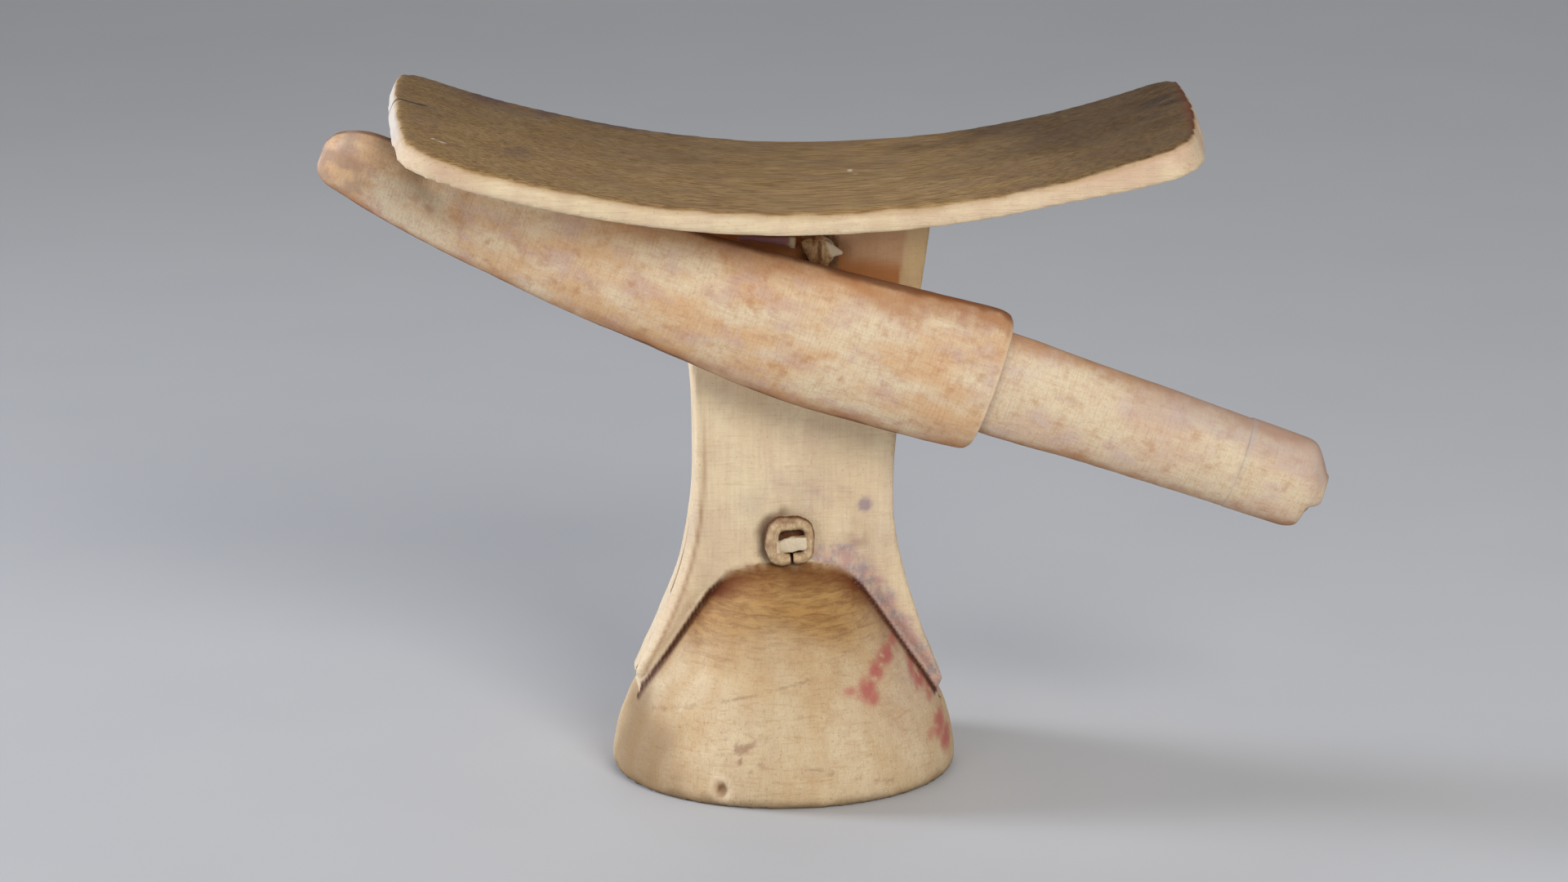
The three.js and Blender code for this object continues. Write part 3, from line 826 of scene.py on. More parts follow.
def build_lower_knot():
    """The thong's end rolled round on itself into a squarish ring, with its tip tucked inside."""
    place = (LOWER_HOLE, KNOT_BACK_Y)
    ring = knot_line(*place, [(x, -2.6, z) for x, z in LOWER_KNOT_RING])
    t = np.linspace(0, 1, len(ring))
    width = 1.62 - 0.3 * np.sin(2 * math.pi * t + 0.4) + 0.12 * np.sin(16 * t)
    depth = 2.15 + 0.35 * np.sin(2 * math.pi * t + 2.2)
    tongue = knot_line(
        *place, [(-2.6, -2.9, -1.1), (-1.0, -3.8, -0.6), (1.2, -4.3, -0.1), (3.8, -4.5, 0.3)]
    )
    tongue_wide = 1.6 + 0.3 * np.sin(np.linspace(0, 3, len(tongue)))
    shells = [
        sweep(ring, width, depth, sides=28),
        sweep(tongue, tongue_wide, 1.0, sides=20, power=3.2),
    ]
    obj, x, y, z = build_knot("lower_thong_knot", *place, shells, (4.2, 1.6, 28), 44)
    in_front = smoothstep(KNOT_BACK_Y - 3.0, KNOT_BACK_Y - 4.0, y)
    on_tongue = (np.abs(x) < 3.6) * (z < 1.6) * (z > -2.4) * in_front
    hidden = smoothstep(KNOT_BACK_Y - 4.4, KNOT_BACK_Y - 2.9, y)
    outer_edge = 0.5 * smoothstep(0.1, 0.75, np.maximum(np.abs(x), np.abs(z)) - 4.6)
    round_hole = np.hypot((x - 0.2) / 3.1, (z - 0.3) / 2.7)
    lip = smoothstep(1.3, 1.0, round_hole) * smoothstep(0.55, 0.8, round_hole)
    lip = lip * (1 - on_tongue) * smoothstep(-2.4, -1.0, z + 0.4 * x)
    seam = smoothstep(0.9, 0.1, z + 5.0) * smoothstep(1.4, 0.5, np.abs(x))
    rolled = np.maximum(outer_edge, 0.7 * lip) + 0.8 * seam
    # dark is painted shade: on the knot's back towards the stem, round its rolled outer edge, at
    # the lip of its hole and in its split. pale is the tucked tip's own whitish hide, with a
    # painted highlight over the knot's front.
    add_masks(
        obj,
        pale=np.maximum(on_tongue, 0.3 * in_front),
        dark=np.maximum(hidden, rolled * patches(points_of(obj), 1.6, 46, -0.6, 0.4)),
    )
    return obj


def build_upper_knot():
    """Two twisted folds, one of them ending in a pale cut tip, and the strip's other end."""
    place = (UPPER_HOLE, UPPER_KNOT_BACK_Y)
    fold = knot_line(*place, [
        (-3.4, -1.6, 2.9), (-2.9, -2.3, 1.6), (-2.0, -2.5, -0.2), (-1.0, -2.3, -1.9),
        (0.3, -1.9, -3.1),
    ])
    second = knot_line(*place, [
        (-0.9, -1.6, 3.2), (0.2, -2.6, 1.8), (0.8, -2.9, 0.1), (0.8, -2.6, -1.5), (0.1, -1.8, -3.0),
    ])
    tip = knot_line(
        *place, [(0.2, -2.4, 0.7), (1.8, -3.1, 0.5), (3.4, -3.2, 0.2), (5.0, -2.9, -0.1)], 10
    )
    strip = knot_line(
        *place, [(-20, -0.8, 3.6), (-14, -1.2, 3.2), (-9, -1.5, 2.7), (-6.2, -1.5, 2.3)]
    )
    thin = np.linspace(1, 0, len(tip))
    k = len(strip)
    shells = [
        sweep(fold, 1.6, 1.25, sides=20, power=2.4),
        sweep(second, 1.5, 1.3, sides=20, power=2.4),
        sweep(tip, 0.2 + 2.6 * thin**0.8, 0.5 + 1.0 * thin, sides=20, power=2.6),
        sweep(strip, np.linspace(0.5, 1.5, k), np.linspace(0.8, 1.1, k), sides=20),
    ]
    obj, x, _, z = build_knot("upper_thong_knot", *place, shells, (3.6, 1.4, 24), 48)
    # Painted shade in the crease between the folds, and the knot's painted shadow on the strip to
    # its left, stored as dark.
    brown = 0.8 * smoothstep(0.8, 0.1, np.abs(x + 0.55)) + 0.4 * smoothstep(0, -4, x) * (x > -5)
    add_masks(
        obj,
        pale=smoothstep(1.4, 2.4, x + 0.4 * z) + 0.8 * smoothstep(1.2, 0.2, np.abs(x + 7)),
        dark=brown * (z < 3),
        dyed=smoothstep(-7.4, -9, x),
    )
    return obj


# ---------------------------------------------------------------- sheath
def sheath_bend(x):
    return 0.0229 * np.maximum(0, BEND_START - x) ** 1.5


def oval(x, top, bottom, half, y, around, power=2.0):
    """One section across the knife's own x, starting at its back."""
    c, s = unit_oval(around, power)
    middle, reach = (top + bottom) / 2, (top - bottom) / 2
    return np.stack([np.full(around, x), y + half * c, middle + reach * s], 1)


def station(outline, x, inset, y=0.0):
    """The (x, top, bottom, half, y) of one section of an outline, shrunk by the inset."""
    top, bottom, half = (float(along(line, x)) for line in outline)
    return x, top - inset, bottom + inset, half - inset, y


def sheath_station(x, inset):
    return station(SHEATH, x, inset, float(sheath_bend(x)))


def upward(outline, x, z):
    """How high on its section each point is, from -1 at the bottom edge to 1 at the top."""
    top, bottom = along(outline[0], x), along(outline[1], x)
    return (2 * z - top - bottom) / (top - bottom)


def outward(y, z):
    """Directions straight out from the knife's long line, shorter within a millimetre of it."""
    out = np.stack([0 * y, y, z], 1)
    return out / np.maximum(np.linalg.norm(out, axis=1), 1)[:, None]


def build_sheath():
    """One hide sleeve: out along its skin from the tip, round the cut edge, and back inside."""
    around = 120
    skin = [sheath_station(-SHEATH_LENGTH, 1.2)]
    skin += [sheath_station(x, 0) for x in np.linspace(-SHEATH_LENGTH + 0.3, -0.45, 210)]
    skin.append(sheath_station(-0.1, 0.15))
    lining = [sheath_station(0, 0.5), sheath_station(0, HIDE - 0.3)]
    lining += [sheath_station(x, HIDE) for x in np.linspace(-0.4, -SHEATH_LENGTH + 6, 60)]
    points, faces = capped([oval(*section, around) for section in skin + lining])
    outer = (np.arange(len(points)) < len(skin) * around).astype(float)
    x, y, z = points.T
    mid_y = sheath_bend(x)
    wave = lumps(points, (14, 12, 12), 50)
    creases = lumps(points, (9, 30, 2.4), 51)
    fine = lumps(points, 2.6, 52)
    front = smoothstep(2, -4, y - mid_y)
    near_mouth = smoothstep(-26, -4, x)
    height = 0.28 * wave + (0.1 + 0.16 * near_mouth) * creases * front + 0.06 * fine
    seam_z = (along(SHEATH_TOP, x) + along(SHEATH_BOTTOM, x)) / 2
    height = height - 0.5 * hill(z, seam_z, 0.7) * (y > mid_y)
    points = points + outward(y - mid_y, z) * (height * outer)[:, None]
    obj = add_object("sheath_hide", in_knife_frame(points), faces)
    paint_sheath(obj, points, x, z, front, outer)
    stand_in(obj, "sheath_cover", "sheath")
    return obj


def paint_sheath(obj, points, x, z, front, outer):
    """Masks for the sheath: worn edges, painted shade along its edges, the mouth's rim, stains, the
    dirty tip and the crest's painted shadow near the tip. x and z are the places of the points
    before they were roughened."""
    up = upward(SHEATH, x, z)
    ragged = 0.10 * lumps(points, (12, 6, 4), 53) + 0.05 * lumps(points, 2, 54)
    worn = 0.4 + 0.6 * patches(points, (10, 5, 3), 57, -0.5, 0.4)
    worn = worn * (0.7 + 0.3 * smoothstep(-100, -60, x))
    tip = smoothstep(-156, -168, x + 9 * lumps(points, (5, 5, 4), 55))
    # A painted shadow: the crest's shadow on the sheath near its tip, as a dark diagonal band over
    # the upper half.
    smudge = hill(x, -143 - 0.75 * z, 7) * smoothstep(-9, 4, z)
    stain = hill(x, -14, 17) * smoothstep(0.45, 1.0, up + 2.4 * ragged)
    tail = hill(x, -6, 9) * smoothstep(-0.35, -0.9, up + ragged)
    add_masks(
        obj,
        top_edge=0.85 * smoothstep(0.6, 1.0, up + 1.4 * ragged) * outer * worn,
        bottom_edge=smoothstep(0.72, 1.0, -up + ragged) * outer,
        # Painted shade: a thin dark line along the top and bottom edges, where the hide turns away.
        edge_line=smoothstep(0.93, 0.985, np.abs(up) + 0.3 * ragged) * outer,
        rim=smoothstep(-0.9, -0.15, x) * (0.4 + 0.6 * outer),
        inside=1 - outer,
        tip=tip * outer * patches(points, 2.6, 59, -0.6, 0.3),
        smudge=smudge * front * outer * patches(points, 4, 56, -0.9, 0.3),
        stain=0.75 * np.maximum(stain, tail) * outer * worn,
    )


def build_lacing():
    """A flat strip laced to and fro over the seam at the sheath's back."""
    anchors = []
    for k, x in enumerate(np.arange(-150, -7.9, 6)):
        _, top, bottom, half, y = sheath_station(x, 0)
        side = 1 if k % 2 else -1
        anchors.append((x, y + half + 0.75, (top + bottom) / 2 + side * 1.6))
    steps = 8
    line = smooth_line(anchors, steps)
    line[:, 1] -= 0.42 * np.cos(np.arange(len(line)) * 2 * math.pi / steps)
    points, faces = sweep(line, 0.95, 0.5, sides=12, power=3)
    obj = add_object("sheath_lacing_strip", in_knife_frame(points), faces)
    add_masks(obj, dark=0.3 + 0.4 * lumps(points, 5, 58))
    stand_in(obj, "sheath_seam_lacing", "sheath")
    return obj


def build_tab():
    """The tab from the sheath's back, with a rounded eye round the thong."""
    cx, cz = UPPER_HOLE
    half, low = 4.6, 104.0
    outline = [
        (cx + half - 0.25 * math.sin((z - low) * 0.35), z) for z in np.linspace(low, cz, 34)
    ]
    for a in np.linspace(0, math.pi, 40)[1:-1]:
        outline.append((cx + half * math.cos(a), cz + half * math.sin(a)))
    for z in np.linspace(cz, low, 34):
        outline.append((cx - half + 0.2 * math.sin((z - low) * 0.3), z))
    outline = np.array(outline)
    from_eye = outline - UPPER_HOLE
    reach = np.linalg.norm(from_eye, axis=1)[:, None]
    eye = UPPER_HOLE + from_eye / reach * (HOLE_R - 0.2)
    # Each ring is a part of the way from the eye to the outline, and so deep behind the front.
    front = [(0.0, 0.35), (0.03, 0.12), (0.08, 0.0)]
    front += [(t, 0.0) for t in np.linspace(0.15, 0.9, 14)]
    front += [(0.96, 0.0), (0.985, 0.12), (1, 0.4)]
    back = [(t, TAB_THICK - depth) for t, depth in reversed(front)]
    rings = []
    for t, depth in front + back:
        flat = eye * (1 - t) + outline * t
        y = np.full(len(flat), STEM_FRONT_Y - GAP - TAB_THICK + depth)
        rings.append(np.stack([flat[:, 0], y, flat[:, 1]], 1))
    points, faces = looped(rings)
    obj = add_object("sheath_tab_hide", points, faces)
    add_masks(obj, dark=0.5 + 0.5 * lumps(points, 3, 60))
    stand_in(obj, "sheath_tab", "sheath")
    return obj


# ---------------------------------------------------------------- knife
def grip_station(x, inset):
    return station(GRIP, x, inset)


def paint_grip(obj, points, **others):
    """Masks for the grip's hide: browned edges, painted shade along the bottom edge, the stain at
    the mouth and the cooler butt.
    """
    x, _, z = points.T
    up = upward(GRIP, x, z)
    ragged = 0.10 * lumps(points, (14, 6, 4), 63) + 0.05 * lumps(points, 2, 64)
    near_mouth = smoothstep(22, 2, x + 4 * lumps(points, (9, 6, 6), 65))
    add_masks(
        obj,
        top_edge=smoothstep(0.74, 1.0, up + ragged),
        bottom_edge=smoothstep(0.76, 1.0, -up + ragged),
        # Painted shade: a thin dark line along the bottom edge.
        edge_line=0.8 * smoothstep(0.955, 0.99, -up + 0.2 * ragged),
        stain=0.6 * near_mouth * smoothstep(0.6, 1.0, up + 2 * ragged),
        cool=smoothstep(20, 50, x) * smoothstep(0.15, 0.7, up + 3 * ragged),
        **others,
    )


def build_sleeve():
    """The grip's hide sleeve: out along its skin, round the cut end, and back inside."""
    around = 96
    skin = [grip_station(x, 0) for x in np.linspace(GRIP_START, GRIP_RING - 0.5, 100)]
    skin.append(grip_station(GRIP_RING - 0.1, 0.2))
    lining = [grip_station(GRIP_RING, 0.45), grip_station(GRIP_RING, GRIP_HIDE)]
    lining += [grip_station(x, GRIP_HIDE) for x in np.linspace(GRIP_RING - 0.4, GRIP_START, 30)]
    points, faces = looped([oval(*section, around) for section in skin + lining])
    outer = (np.arange(len(points)) < len(skin) * around).astype(float)
    height = 0.2 * lumps(points, (15, 9, 9), 66) + 0.05 * lumps(points, 2.4, 67)
    points = points + outward(*points.T[1:]) * (height * outer)[:, None]
    obj = add_object("grip_hide_sleeve", in_knife_frame(points), faces)
    ring = smoothstep(1.4, 0.2, GRIP_RING - points[:, 0])
    paint_grip(obj, points, rim=0.5 * ring * outer, inside=1 - outer)
    stand_in(obj, "grip_sleeve", "knife")
    return obj


def build_butt():
    """The cap's skin laps the sleeve, turns a blunt corner at the end, and is folded in round the
    slit where the tang's end shows."""
    around, lap = 96, -0.16
    start = GRIP_RING - 0.7
    sections = [grip_station(start + 2, GRIP_HIDE), grip_station(start, 0.3)]
    sections += [grip_station(start + 0.1, 0), grip_station(start + 0.5, lap)]
    sections += [grip_station(x, lap) for x in np.linspace(start + 1, GRIP_END - 0.2, 44)]
    rings = [oval(*section, around) for section in sections]
    edge = rings[-1]
    turn = full_turn(around)
    slit = np.stack([np.full(around, GRIP_END), 0.8 * np.cos(turn), 0.6 + 3.4 * np.sin(turn)], 1)
    for t in (0.2, 0.45, 0.7, 0.88):
        ring = edge * (1 - t) + slit * t
        ring[:, 0] = GRIP_END + 0.35 * math.sin(t * math.pi)
        rings.append(ring)
    for depth, shrink in ((0.1, 1.0), (0.6, 0.98), (1.4, 0.92), (2.4, 0.85)):
        ring = slit * np.array([1, shrink, 1])
        ring[:, 0] = GRIP_END - depth
        rings.append(ring)
    points, faces = capped(rings)
    x, y, z = points.T
    skin = smoothstep(84.9, 81, x) * smoothstep(start - 0.1, start + 0.5, x)
    points = points + outward(y, z) * (skin * 0.14 * lumps(points, (8, 7, 7), 70))[:, None]
    near_end = smoothstep(81, 84.5, x)
    upper = smoothstep(-4.5, -1.5, z)
    fold = smoothstep(1.2, 0.2, np.abs(z + 3.4 - 0.2 * y)) * smoothstep(82, 84, x)
    points[:, 0] += near_end * (0.1 * upper - 1.6 * (1 - upper)) - 0.8 * fold
    obj = add_object("butt_cap_hide", in_knife_frame(points), faces)
    faded = 0.15 + 0.85 * smoothstep(-6, 10, z)
    seam = smoothstep(1.6, 0.4, np.abs(points[:, 0] - start - 0.4))
    hollow = smoothstep(1.7, 0.6, np.abs(y)) * smoothstep(4.4, 3.2, np.abs(z - 0.6)) * (x > 81)
    paint_grip(obj, points, rim=0.5 * seam * faded, inside=np.maximum(hollow, 0.8 * fold))
    stand_in(obj, "butt_cap", "knife")
    return obj


def build_blade():
    """A hand-forged blade: thickest just below the spine, bevelled to the edge, with a stepped
    shoulder and a tang through the grip."""
    around = 40
    c, s = np.cos(full_turn(around)), np.sin(full_turn(around))
    rings = []
    for x in np.linspace(BLADE_TIP, GRIP_START, 110):
        top, bottom, half = (float(along(line, x)) for line in BLADE)
        z = (top + bottom) / 2 + (top - bottom) / 2 * np.sign(s) * np.abs(s) ** 0.9
        from_edge = (z - bottom) / (top - bottom)
        bevelled = np.clip(from_edge * 1.7, 0.06, 1) ** 0.85
        thick = half * bevelled * np.minimum(1, 0.18 + 3 * (1 - from_edge))
        y = thick * np.sign(c) * np.minimum(1, 3 * np.abs(c))
        rings.append(np.stack([np.full(around, x), y, z], 1))
    for x, half_height, half_thick in (
        (GRIP_START + 0.1, 8.0, 1.4), (GRIP_START + 0.3, 3.0, 1.25), (-5, 3, 1.25), (20, 3, 1.25),
        (60, 3, 1.25), (83, 3, 1.2), (83.4, 2.6, 1.0),
    ):
        rings.append(oval(x, half_height, -half_height, half_thick, 0, around, power=6))
    points, faces = capped(rings)
    on_blade = points[:, 0] < GRIP_START
    dents = 0.05 * lumps(points, (6, 3, 4), 74) * np.sign(points[:, 1]) * on_blade
    points[:, 1] += dents * smoothstep(0.2, 0.7, np.abs(points[:, 1]))
    obj = add_object("blade_iron", in_knife_frame(points), faces)
    top, bottom = along(BLADE_SPINE, points[:, 0]), along(BLADE_EDGE, points[:, 0])
    from_edge = (points[:, 2] - bottom) / (top - bottom)
    add_masks(obj, ground=smoothstep(0.55, 0.3, from_edge) * on_blade)
    stand_in(obj, "knife_blade", "knife")
    return obj


# ---------------------------------------------------------------- materials
def linear(red, green, blue):
    """A shader colour from three display values up to 255."""
    return tuple((v / 255 / 12.92) if v < 10.3 else ((v / 255 + 0.055) / 1.055) ** 2.4
                 for v in (red, green, blue)) + (1.0,)


class Look:
    """One procedural material, with the node set-ups that all of them share."""

    def __init__(self, name, roughness, specular=0.35, metallic=0.0):
        self.material = bpy.data.materials.new(name)
        self.material.use_nodes = True
        self.nodes = self.material.node_tree.nodes
        self.surface = self.nodes["Principled BSDF"]
        self.surface.inputs["Roughness"].default_value = roughness
        self.surface.inputs["Specular IOR Level"].default_value = specular
        self.surface.inputs["Metallic"].default_value = metallic
        self.place = self.nodes.new("ShaderNodeTexCoord").outputs["Object"]

    def join(self, value, socket):
        if isinstance(value, bpy.types.NodeSocket):
            self.material.node_tree.links.new(value, socket)
        else:
            socket.default_value = value

    def turned(self):
        """From here on, patterns lie along the knife."""
        node = self.nodes.new("ShaderNodeMapping")
        node.vector_type = "TEXTURE"
        node.inputs["Location"].default_value = MOUTH * MM
        node.inputs["Rotation"].default_value = (0, KNIFE_PITCH, -KNIFE_YAW)
        self.join(self.place, node.inputs["Vector"])
        self.place = node.outputs["Vector"]
        return self

    def pattern(self, kind, size, seed=0.0):
        """A texture with features of that size in millimetres, even or along x, y and z."""
        size = size if isinstance(size, tuple) else (size, size, size)
        mapping = self.nodes.new("ShaderNodeMapping")
        mapping.inputs["Scale"].default_value = tuple(1 / (MM * s) for s in size)
        mapping.inputs["Location"].default_value = (seed, 1.7 * seed, 0.3 * seed)
        self.join(self.place, mapping.inputs["Vector"])
        node = self.nodes.new(kind)
        node.inputs["Scale"].default_value = 1.0
        self.join(mapping.outputs["Vector"], node.inputs["Vector"])
        return node

    def noise(self, size, detail=3.0, roughness=0.55, distortion=0.0, seed=0.0):
        node = self.pattern("ShaderNodeTexNoise", size, seed)
        node.inputs["Detail"].default_value = detail
        node.inputs["Roughness"].default_value = roughness
        node.inputs["Distortion"].default_value = distortion
        return node.outputs["Fac"]

    def cells(self, size):
        """Rounded cells, for a pebbled skin."""
        return self.pattern("ShaderNodeTexVoronoi", size).outputs["Distance"]

    def mask(self, name):
        node = self.nodes.new("ShaderNodeAttribute")
        node.attribute_name = name
        return node.outputs["Fac"]

    def span(self, value, low, high, to_low=0.0, to_high=1.0):
        """Remaps a value smoothly from low and high to the other two."""
        node = self.nodes.new("ShaderNodeMapRange")
        node.interpolation_type = "SMOOTHSTEP"
        for socket, amount in zip(
            ("From Min", "From Max", "To Min", "To Max"), (low, high, to_low, to_high)
        ):
            node.inputs[socket].default_value = amount
        self.join(value, node.inputs["Value"])
        return node.outputs["Result"]

    def math(self, operation, a, b):
        node = self.nodes.new("ShaderNodeMath")
        node.operation = operation
        self.join(a, node.inputs[0])
        self.join(b, node.inputs[1])
        return node.outputs[0]

    def times(self, a, b):
        return self.math("MULTIPLY", a, b)

    def mix(self, amount, a, b):
        """Lays b over a by an amount. A colour is a socket or three display values."""
        node = self.nodes.new("ShaderNodeMix")
        node.data_type = "RGBA"
        for value, socket in ((amount, 0), (a, 6), (b, 7)):
            value = linear(*value) if isinstance(value, tuple) else value
            self.join(value, node.inputs[socket])
        return node.outputs[2]

    def veil(self, colour, pattern, low, high, strength, over):
        """Lays another colour over a colour as the pattern goes from low to high."""
        return self.mix(self.span(pattern, low, high, 0, strength), colour, over)

    def stains(self, colour, *layers):
        """Lays colours over a colour in turn. Each layer is (mask, strength, colour)."""
        for mask, strength, over in layers:
            colour = self.mix(self.times(self.mask(mask), strength), colour, over)
        return colour

    def colour(self, value):
        self.join(value, self.surface.inputs["Base Color"])

    def roughness(self, value):
        self.join(value, self.surface.inputs["Roughness"])

    def bump(self, *layers):
        """Each layer is (height, millimetres)."""
        normal = None
        for height, depth in layers:
            node = self.nodes.new("ShaderNodeBump")
            node.inputs["Distance"].default_value = depth * MM
            node.inputs["Strength"].default_value = 1.0
            self.join(height, node.inputs["Height"])
            if normal is not None:
                self.join(normal, node.inputs["Normal"])
            normal = node.outputs["Normal"]
        self.join(normal, self.surface.inputs["Normal"])

    def put_on(self, obj):
        obj.data.materials.clear()
        obj.data.materials.append(self.material)


def carved_wood():
    """Pale carved wood, darkened on the handled crest and browner on the foot."""
    look = Look("carved wood", 0.6, 0.1)
    broad = look.span(look.noise((10, 10, 24), 4, seed=3), 0.32, 0.68)
    cloud = look.span(look.noise((5, 5, 7), 4, 0.6, seed=31), 0.4, 0.66)
    upright = look.noise((0.6, 0.6, 12), 4, 0.65, seed=9)
    lengthwise = look.noise((14, 0.7, 0.7), 4, 0.65, seed=21)
    saw = look.noise((9, 9, 0.45), 3, 0.6, seed=33)
    arcs = look.noise((5, 5, 0.9), 4, 0.65, distortion=0.6, seed=15)
    wisps = look.noise((4, 4, 2.6), 5, 0.72, distortion=1.2, seed=45)
    grain = look.mix(
        look.mask("crest"), look.span(upright, 0.42, 0.7), look.span(lengthwise, 0.42, 0.7)
    )
    colour = look.mix(broad, (228, 210, 176), (218, 196, 162))
    colour = look.mix(look.times(cloud, 0.38), colour, (208, 182, 160))
    colour = look.mix(look.times(grain, 0.13), colour, (188, 154, 116))
    colour = look.veil(colour, wisps, 0.5, 0.74, 0.34, (190, 158, 128))
    colour = look.veil(colour, saw, 0.5, 0.72, 0.28, (192, 160, 128))
    colour = look.mix(look.mask("foot"), colour, foot_tone(look, broad, cloud, arcs))
    amber = look.mix(look.span(arcs, 0.35, 0.65), (172, 130, 70), (136, 92, 44))
    colour = look.stains(
        colour,
        ("amber", 0.86, amber),
        # Painted shade on the foot's left side.
        ("grimy", 0.75, (130, 102, 68)),
        # Red-brown ochre stain, with painted shade under the stem's lip.
        ("redbrown", 0.92, (96, 42, 20)),
        # Orange-brown stain with painted shade above the sheath and under the crest.
        ("rubbed", 0.95, (190, 126, 74)),
        # A painted highlight on the stem's planed right arris.
        ("chamfer", 0.6, (214, 178, 124)),
        ("brown", 0.7, (150, 112, 84)),
        ("blush", 0.5, (196, 152, 134)),
        # A painted highlight on the crest's left end face.
        ("pale_end", 0.8, (216, 208, 198)),
    )
    fine = look.span(look.noise((7, 0.5, 0.5), 4, 0.7, seed=23), 0.36, 0.66)
    wobble = look.span(look.noise((9, 4, 4), 4, 0.55, seed=41), 0.25, 0.75, -0.08, 0.08)
    edge = look.math("ADD", look.mask("depth"), wobble)
    grimed = look.times(look.mask("crest"), look.span(edge, 0.62, 0.16))
    colour = look.mix(look.times(grimed, 0.55), colour, (176, 140, 96))
    handled = look.times(look.mask("crest"), look.span(edge, 0.28, 0.08))
    colour = look.mix(handled, colour, handled_tone(look, fine))
    clotted = look.span(look.noise((1.8, 1.8, 3), 4, 0.65, seed=51), 0.3, 0.6, 0.35, 0.8)
    violet = look.mix(
        look.span(look.noise(3, 3, seed=52), 0.45, 0.6), (182, 142, 138), (150, 134, 142)
    )
    speck = look.span(look.noise(0.8, 2, 0.5, seed=4), 0.62, 0.74)
    colour = look.stains(
        colour,
        ("violet", clotted, violet),
        ("purple", 0.85, (142, 122, 136)),
        ("pink", 0.85, (178, 92, 88)),
        ("hairline", 0.42, (112, 76, 50)),
        ("specks", 0.7, (140, 100, 80)),
        # The lower knot's painted shadow on the stem.
        ("halo", 0.75, (96, 58, 36)),
        ("arris", 0.55, (146, 98, 54)),
        # Painted shade in the groove along the arch.
        ("crease", 0.95, (72, 32, 16)),
        ("crack", 1.0, (24, 16, 12)),
        # Painted highlight round the pit's rim, and painted shade inside it.
        ("pit_rim", 0.5, (228, 206, 176)),
        ("pit", 1.0, (112, 72, 46)),
        ("base_dirt", 0.6, (104, 78, 50)),
    )
    look.colour(look.mix(look.times(speck, 0.25), colour, (140, 104, 70)))
    look.roughness(look.span(broad, 0, 1, 0.5, 0.64))
    look.bump((grain, 0.06), (look.noise(0.35, 2, seed=5), 0.05), (fine, 0.04), (saw, 0.04))
    return look


def foot_tone(look, broad, cloud, arcs):
    """The foot's browner wood, scuffed and hatched by the knife that cut it."""
    scuffs = look.noise((3.4, 3.4, 0.28), 4, 0.7, distortion=0.9, seed=47)
    hatch = look.noise((0.35, 2, 2.2), 3, 0.6, distortion=1.6, seed=53)
    dots = look.noise((1.1, 1.1, 0.8), 3, 0.7, seed=48)
    tone = look.mix(broad, (214, 194, 160), (200, 172, 132))
    tone = look.veil(tone, arcs, 0.5, 0.72, 0.4, (172, 132, 88))
    tone = look.veil(tone, scuffs, 0.56, 0.7, 0.3, (168, 128, 92))
    tone = look.veil(tone, scuffs, 0.42, 0.3, 0.4, (226, 208, 172))
    tone = look.veil(tone, hatch, 0.5, 0.66, 0.34, (174, 140, 104))
    tone = look.veil(tone, dots, 0.6, 0.72, 0.45, (150, 108, 76))
    return look.mix(look.times(cloud, 0.3), tone, (190, 156, 124))


def handled_tone(look, fine):
    """The crest's top, brown from handling, with painted shade towards its back, and nearly black
    to the right.
    """
    cloud = look.span(look.noise((16, 7, 8), 4, seed=27), 0.42, 0.66)
    tone = look.mix(fine, (178, 145, 96), (122, 91, 50))
    tone = look.mix(look.times(cloud, 0.4), tone, (126, 98, 74))
    return look.stains(
        tone,
        # Painted shade towards the back of the top, and real staining to the right.
        ("darkened", 0.85, look.mix(fine, (84, 59, 30), (46, 30, 15))),
        ("reddish", 0.7, (112, 58, 34)),
        ("blotch", 0.6, (26, 16, 12)),
        ("dyed", 0.65, (78, 62, 78)),
        ("scratch", 1.0, (226, 214, 190)),
    )


def core_wood():
    """Plain wood, for the cores that only their hides' mouths show."""
    look = Look("plain core wood", 0.7, 0.25).turned()
    grain = look.noise((24, 1.2, 0.9), 4, 0.6)
    look.colour(look.mix(look.span(grain, 0.35, 0.66), (206, 172, 124), (166, 122, 78)))
    look.bump((grain, 0.1))
    return look


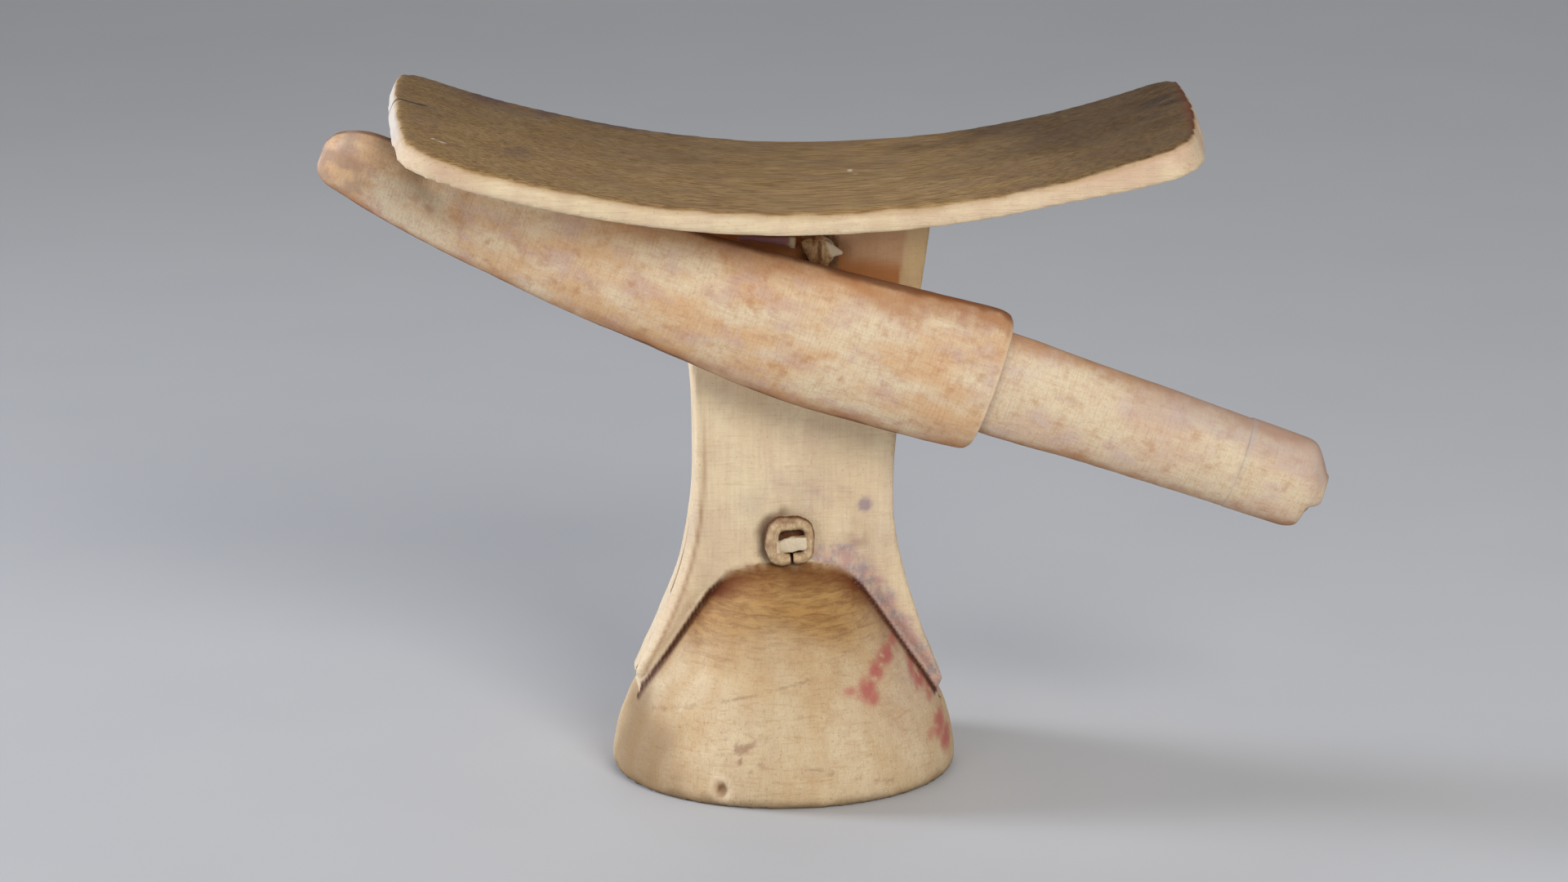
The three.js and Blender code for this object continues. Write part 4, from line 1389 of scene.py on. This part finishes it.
def hide(name, light, warm, cool, edge, cut, seed):
    """Old goatskin-like hide: clouds of warm and cool colour, browned edges with a thin line of
    painted shade along them, a fine pebble.
    """
    look = Look(name, 0.62, 0.25).turned()
    clouds = look.span(look.noise((24, 14, 10), 4, 0.55, seed=seed), 0.38, 0.64)
    cool_patches = look.span(look.noise((8, 7, 6), 4, 0.6, seed=seed + 3), 0.46, 0.7)
    blush = look.span(look.noise((4, 4, 3.4), 4, 0.6, seed=seed + 7), 0.5, 0.72)
    cross = look.noise((0.45, 4, 4), 3, 0.6, seed=seed + 9)
    fibre = look.noise((5, 0.5, 0.4), 3, 0.6, seed=seed + 13)
    grit = look.noise(0.45, 2, 0.6, seed=seed + 17)
    mottle = look.noise((2.2, 2, 1.7), 4, 0.7, seed=seed + 21)
    streaks = look.noise((16, 3, 1.8), 4, 0.6, seed=seed + 25)
    colour = look.mix(clouds, light, warm)
    colour = look.mix(look.times(cool_patches, 0.62), colour, cool)
    colour = look.mix(look.times(blush, 0.42), colour, edge)
    colour = look.veil(colour, mottle, 0.52, 0.7, 0.24, (176, 128, 100))
    colour = look.veil(colour, mottle, 0.44, 0.3, 0.3, (226, 210, 184))
    colour = look.veil(colour, streaks, 0.5, 0.7, 0.22, (184, 142, 116))
    colour = look.veil(colour, cross, 0.45, 0.7, 0.2, edge)
    colour = look.veil(colour, fibre, 0.48, 0.72, 0.16, edge)
    colour = look.veil(colour, grit, 0.5, 0.75, 0.25, (150, 116, 88))
    look.colour(look.stains(
        colour,
        ("top_edge", 0.75, edge),
        ("bottom_edge", 0.7, edge),
        # A thin line of painted shade along the edges.
        ("edge_line", 0.8, (104, 62, 34)),
        ("stain", 0.55, (160, 98, 54)),
        ("tip", 0.7, (158, 128, 108)),
        ("cool", 0.45, (176, 156, 150)),
        # A painted shadow of the crest, on the sheath near its tip.
        ("smudge", 0.75, (104, 84, 58)),
        ("rim", 0.7, cut),
        ("inside", 0.8, (96, 58, 36)),
    ))
    look.roughness(look.span(clouds, 0, 1, 0.54, 0.66))
    pebble = look.cells((0.6, 0.6, 0.55))
    look.bump((pebble, 0.05), (cross, 0.04), (look.noise((2.4, 2, 1.4), 3, seed=seed), 0.12))
    return look


def thong_hide():
    """Rolled hide, for the thong, its knots, the lacing and the tab."""
    look = Look("rolled thong hide", 0.62, 0.3)
    fibre = look.noise((0.5, 0.5, 1.4), 4, 0.62)
    clouds = look.span(look.noise(2.4, 3, seed=6), 0.38, 0.64)
    colour = look.mix(clouds, (200, 170, 122), (158, 114, 70))
    colour = look.veil(colour, fibre, 0.42, 0.68, 0.6, (112, 70, 38))
    look.colour(look.stains(
        colour,
        # pale is the knots' own pale hide, with a painted highlight over the lower knot's front.
        ("pale", 1.0, (210, 194, 166)),
        ("dyed", 1.0, (150, 108, 112)),
        # dark is painted shade and shadow on the two knots, and a random darker tone on the lacing
        # and the tab.
        ("dark", 0.9, (88, 42, 18)),
    ))
    look.bump((fibre, 0.12), (look.cells(0.5), 0.05))
    return look


def blade_iron():
    """Dull forged iron, brighter where the edge is ground."""
    look = Look("old iron", 0.42, 0.5, 1.0).turned()
    scale = look.span(look.noise((5, 3, 3), 4, 0.6, seed=2), 0.45, 0.66)
    scratch = look.noise((9, 0.4, 0.3), 3, 0.6, seed=5)
    bright = look.mix(look.span(scratch, 0.4, 0.65), (170, 168, 164), (132, 128, 124))
    dull = look.mix(scale, (92, 84, 78), (74, 52, 40))
    look.colour(look.mix(look.mask("ground"), dull, bright))
    look.roughness(look.span(scale, 0, 1, 0.34, 0.62))
    look.bump((scratch, 0.03), (scale, 0.05))
    return look


# ---------------------------------------------------------------- stage and light
LIGHT_TARGET = Vector((0, 0, 0.09))
FLOOR_HALF, FLOOR_DROP = 4000.0, 0.2


def add_stage():
    """A pale floor just under the base, in a soft even light."""
    corners = [(x * FLOOR_HALF, y * FLOOR_HALF, 0) for x, y in ((-1, -1), (1, -1), (1, 1), (-1, 1))]
    floor = add_object("floor", corners, [(0, 1, 2, 3)])
    floor.location.z = -FLOOR_DROP * MM
    look = Look("pale floor", 0.9, 0.05)
    look.colour(look.mix(look.noise(60, 2), (190, 191, 193), (196, 196, 197)))
    look.put_on(floor)
    world = bpy.data.worlds.new("soft room")
    bpy.context.scene.world = world
    world.use_nodes = True
    background = world.node_tree.nodes["Background"].inputs
    background["Color"].default_value = (0.76, 0.78, 0.82, 1)
    background["Strength"].default_value = 0.36


def add_light(name, place, power, size, colour, spread=math.pi):
    data = bpy.data.lights.new(name, "AREA")
    data.energy = power
    data.size = size
    data.color = colour
    data.spread = spread
    light = bpy.data.objects.new(name, data)
    light.location = place
    aim = LIGHT_TARGET - Vector(place)
    light.rotation_euler = aim.to_track_quat("-Z", "Y").to_euler()
    bpy.context.scene.collection.objects.link(light)


def add_lights():
    bpy.context.scene.view_settings.view_transform = "Standard"
    add_light("key", (0.45, -1.25, 0.82), 13.8, 0.6, (1.0, 0.97, 0.93))
    add_light("left", (-1.5, 0.42, 0.5), 3.2, 0.5, (0.84, 0.89, 1.0), math.radians(60))
    add_light("fill", (-0.7, -1.2, 0.3), 4, 0.6, (1.0, 0.98, 0.96))
    add_light("back", (0.1, 1.2, 1.3), 3, 0.8, (0.96, 0.97, 1.0))


# ---------------------------------------------------------------- the whole scene
add_camera()
thong, thong_line, thong_length = build_thong()
lower_knot, upper_knot = build_lower_knot(), build_upper_knot()
headrest = build_headrest()
sheath = build_sheath()
lacing, tab = build_lacing(), build_tab()
sleeve, butt = build_sleeve(), build_butt()
blade = build_blade()

carved_wood().put_on(headrest)
core = core_wood()
for node in ("sheath_core_front", "sheath_core_back", "grip_core"):
    core.put_on(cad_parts[node])
hide(
    "sheath hide", (220, 203, 172), (210, 174, 134), (194, 164, 154), (170, 112, 66),
    (222, 200, 168), 11,
).put_on(sheath)
grip_look = hide(
    "grip hide", (218, 201, 170), (208, 182, 156), (200, 178, 168), (174, 122, 76),
    (176, 168, 168), 31,
)
for piece in (sleeve, butt):
    grip_look.put_on(piece)
cord_look = thong_hide()
for piece in (thong, lower_knot, upper_knot, lacing, tab):
    cord_look.put_on(piece)
blade_iron().put_on(blade)
add_stage()
add_lights()
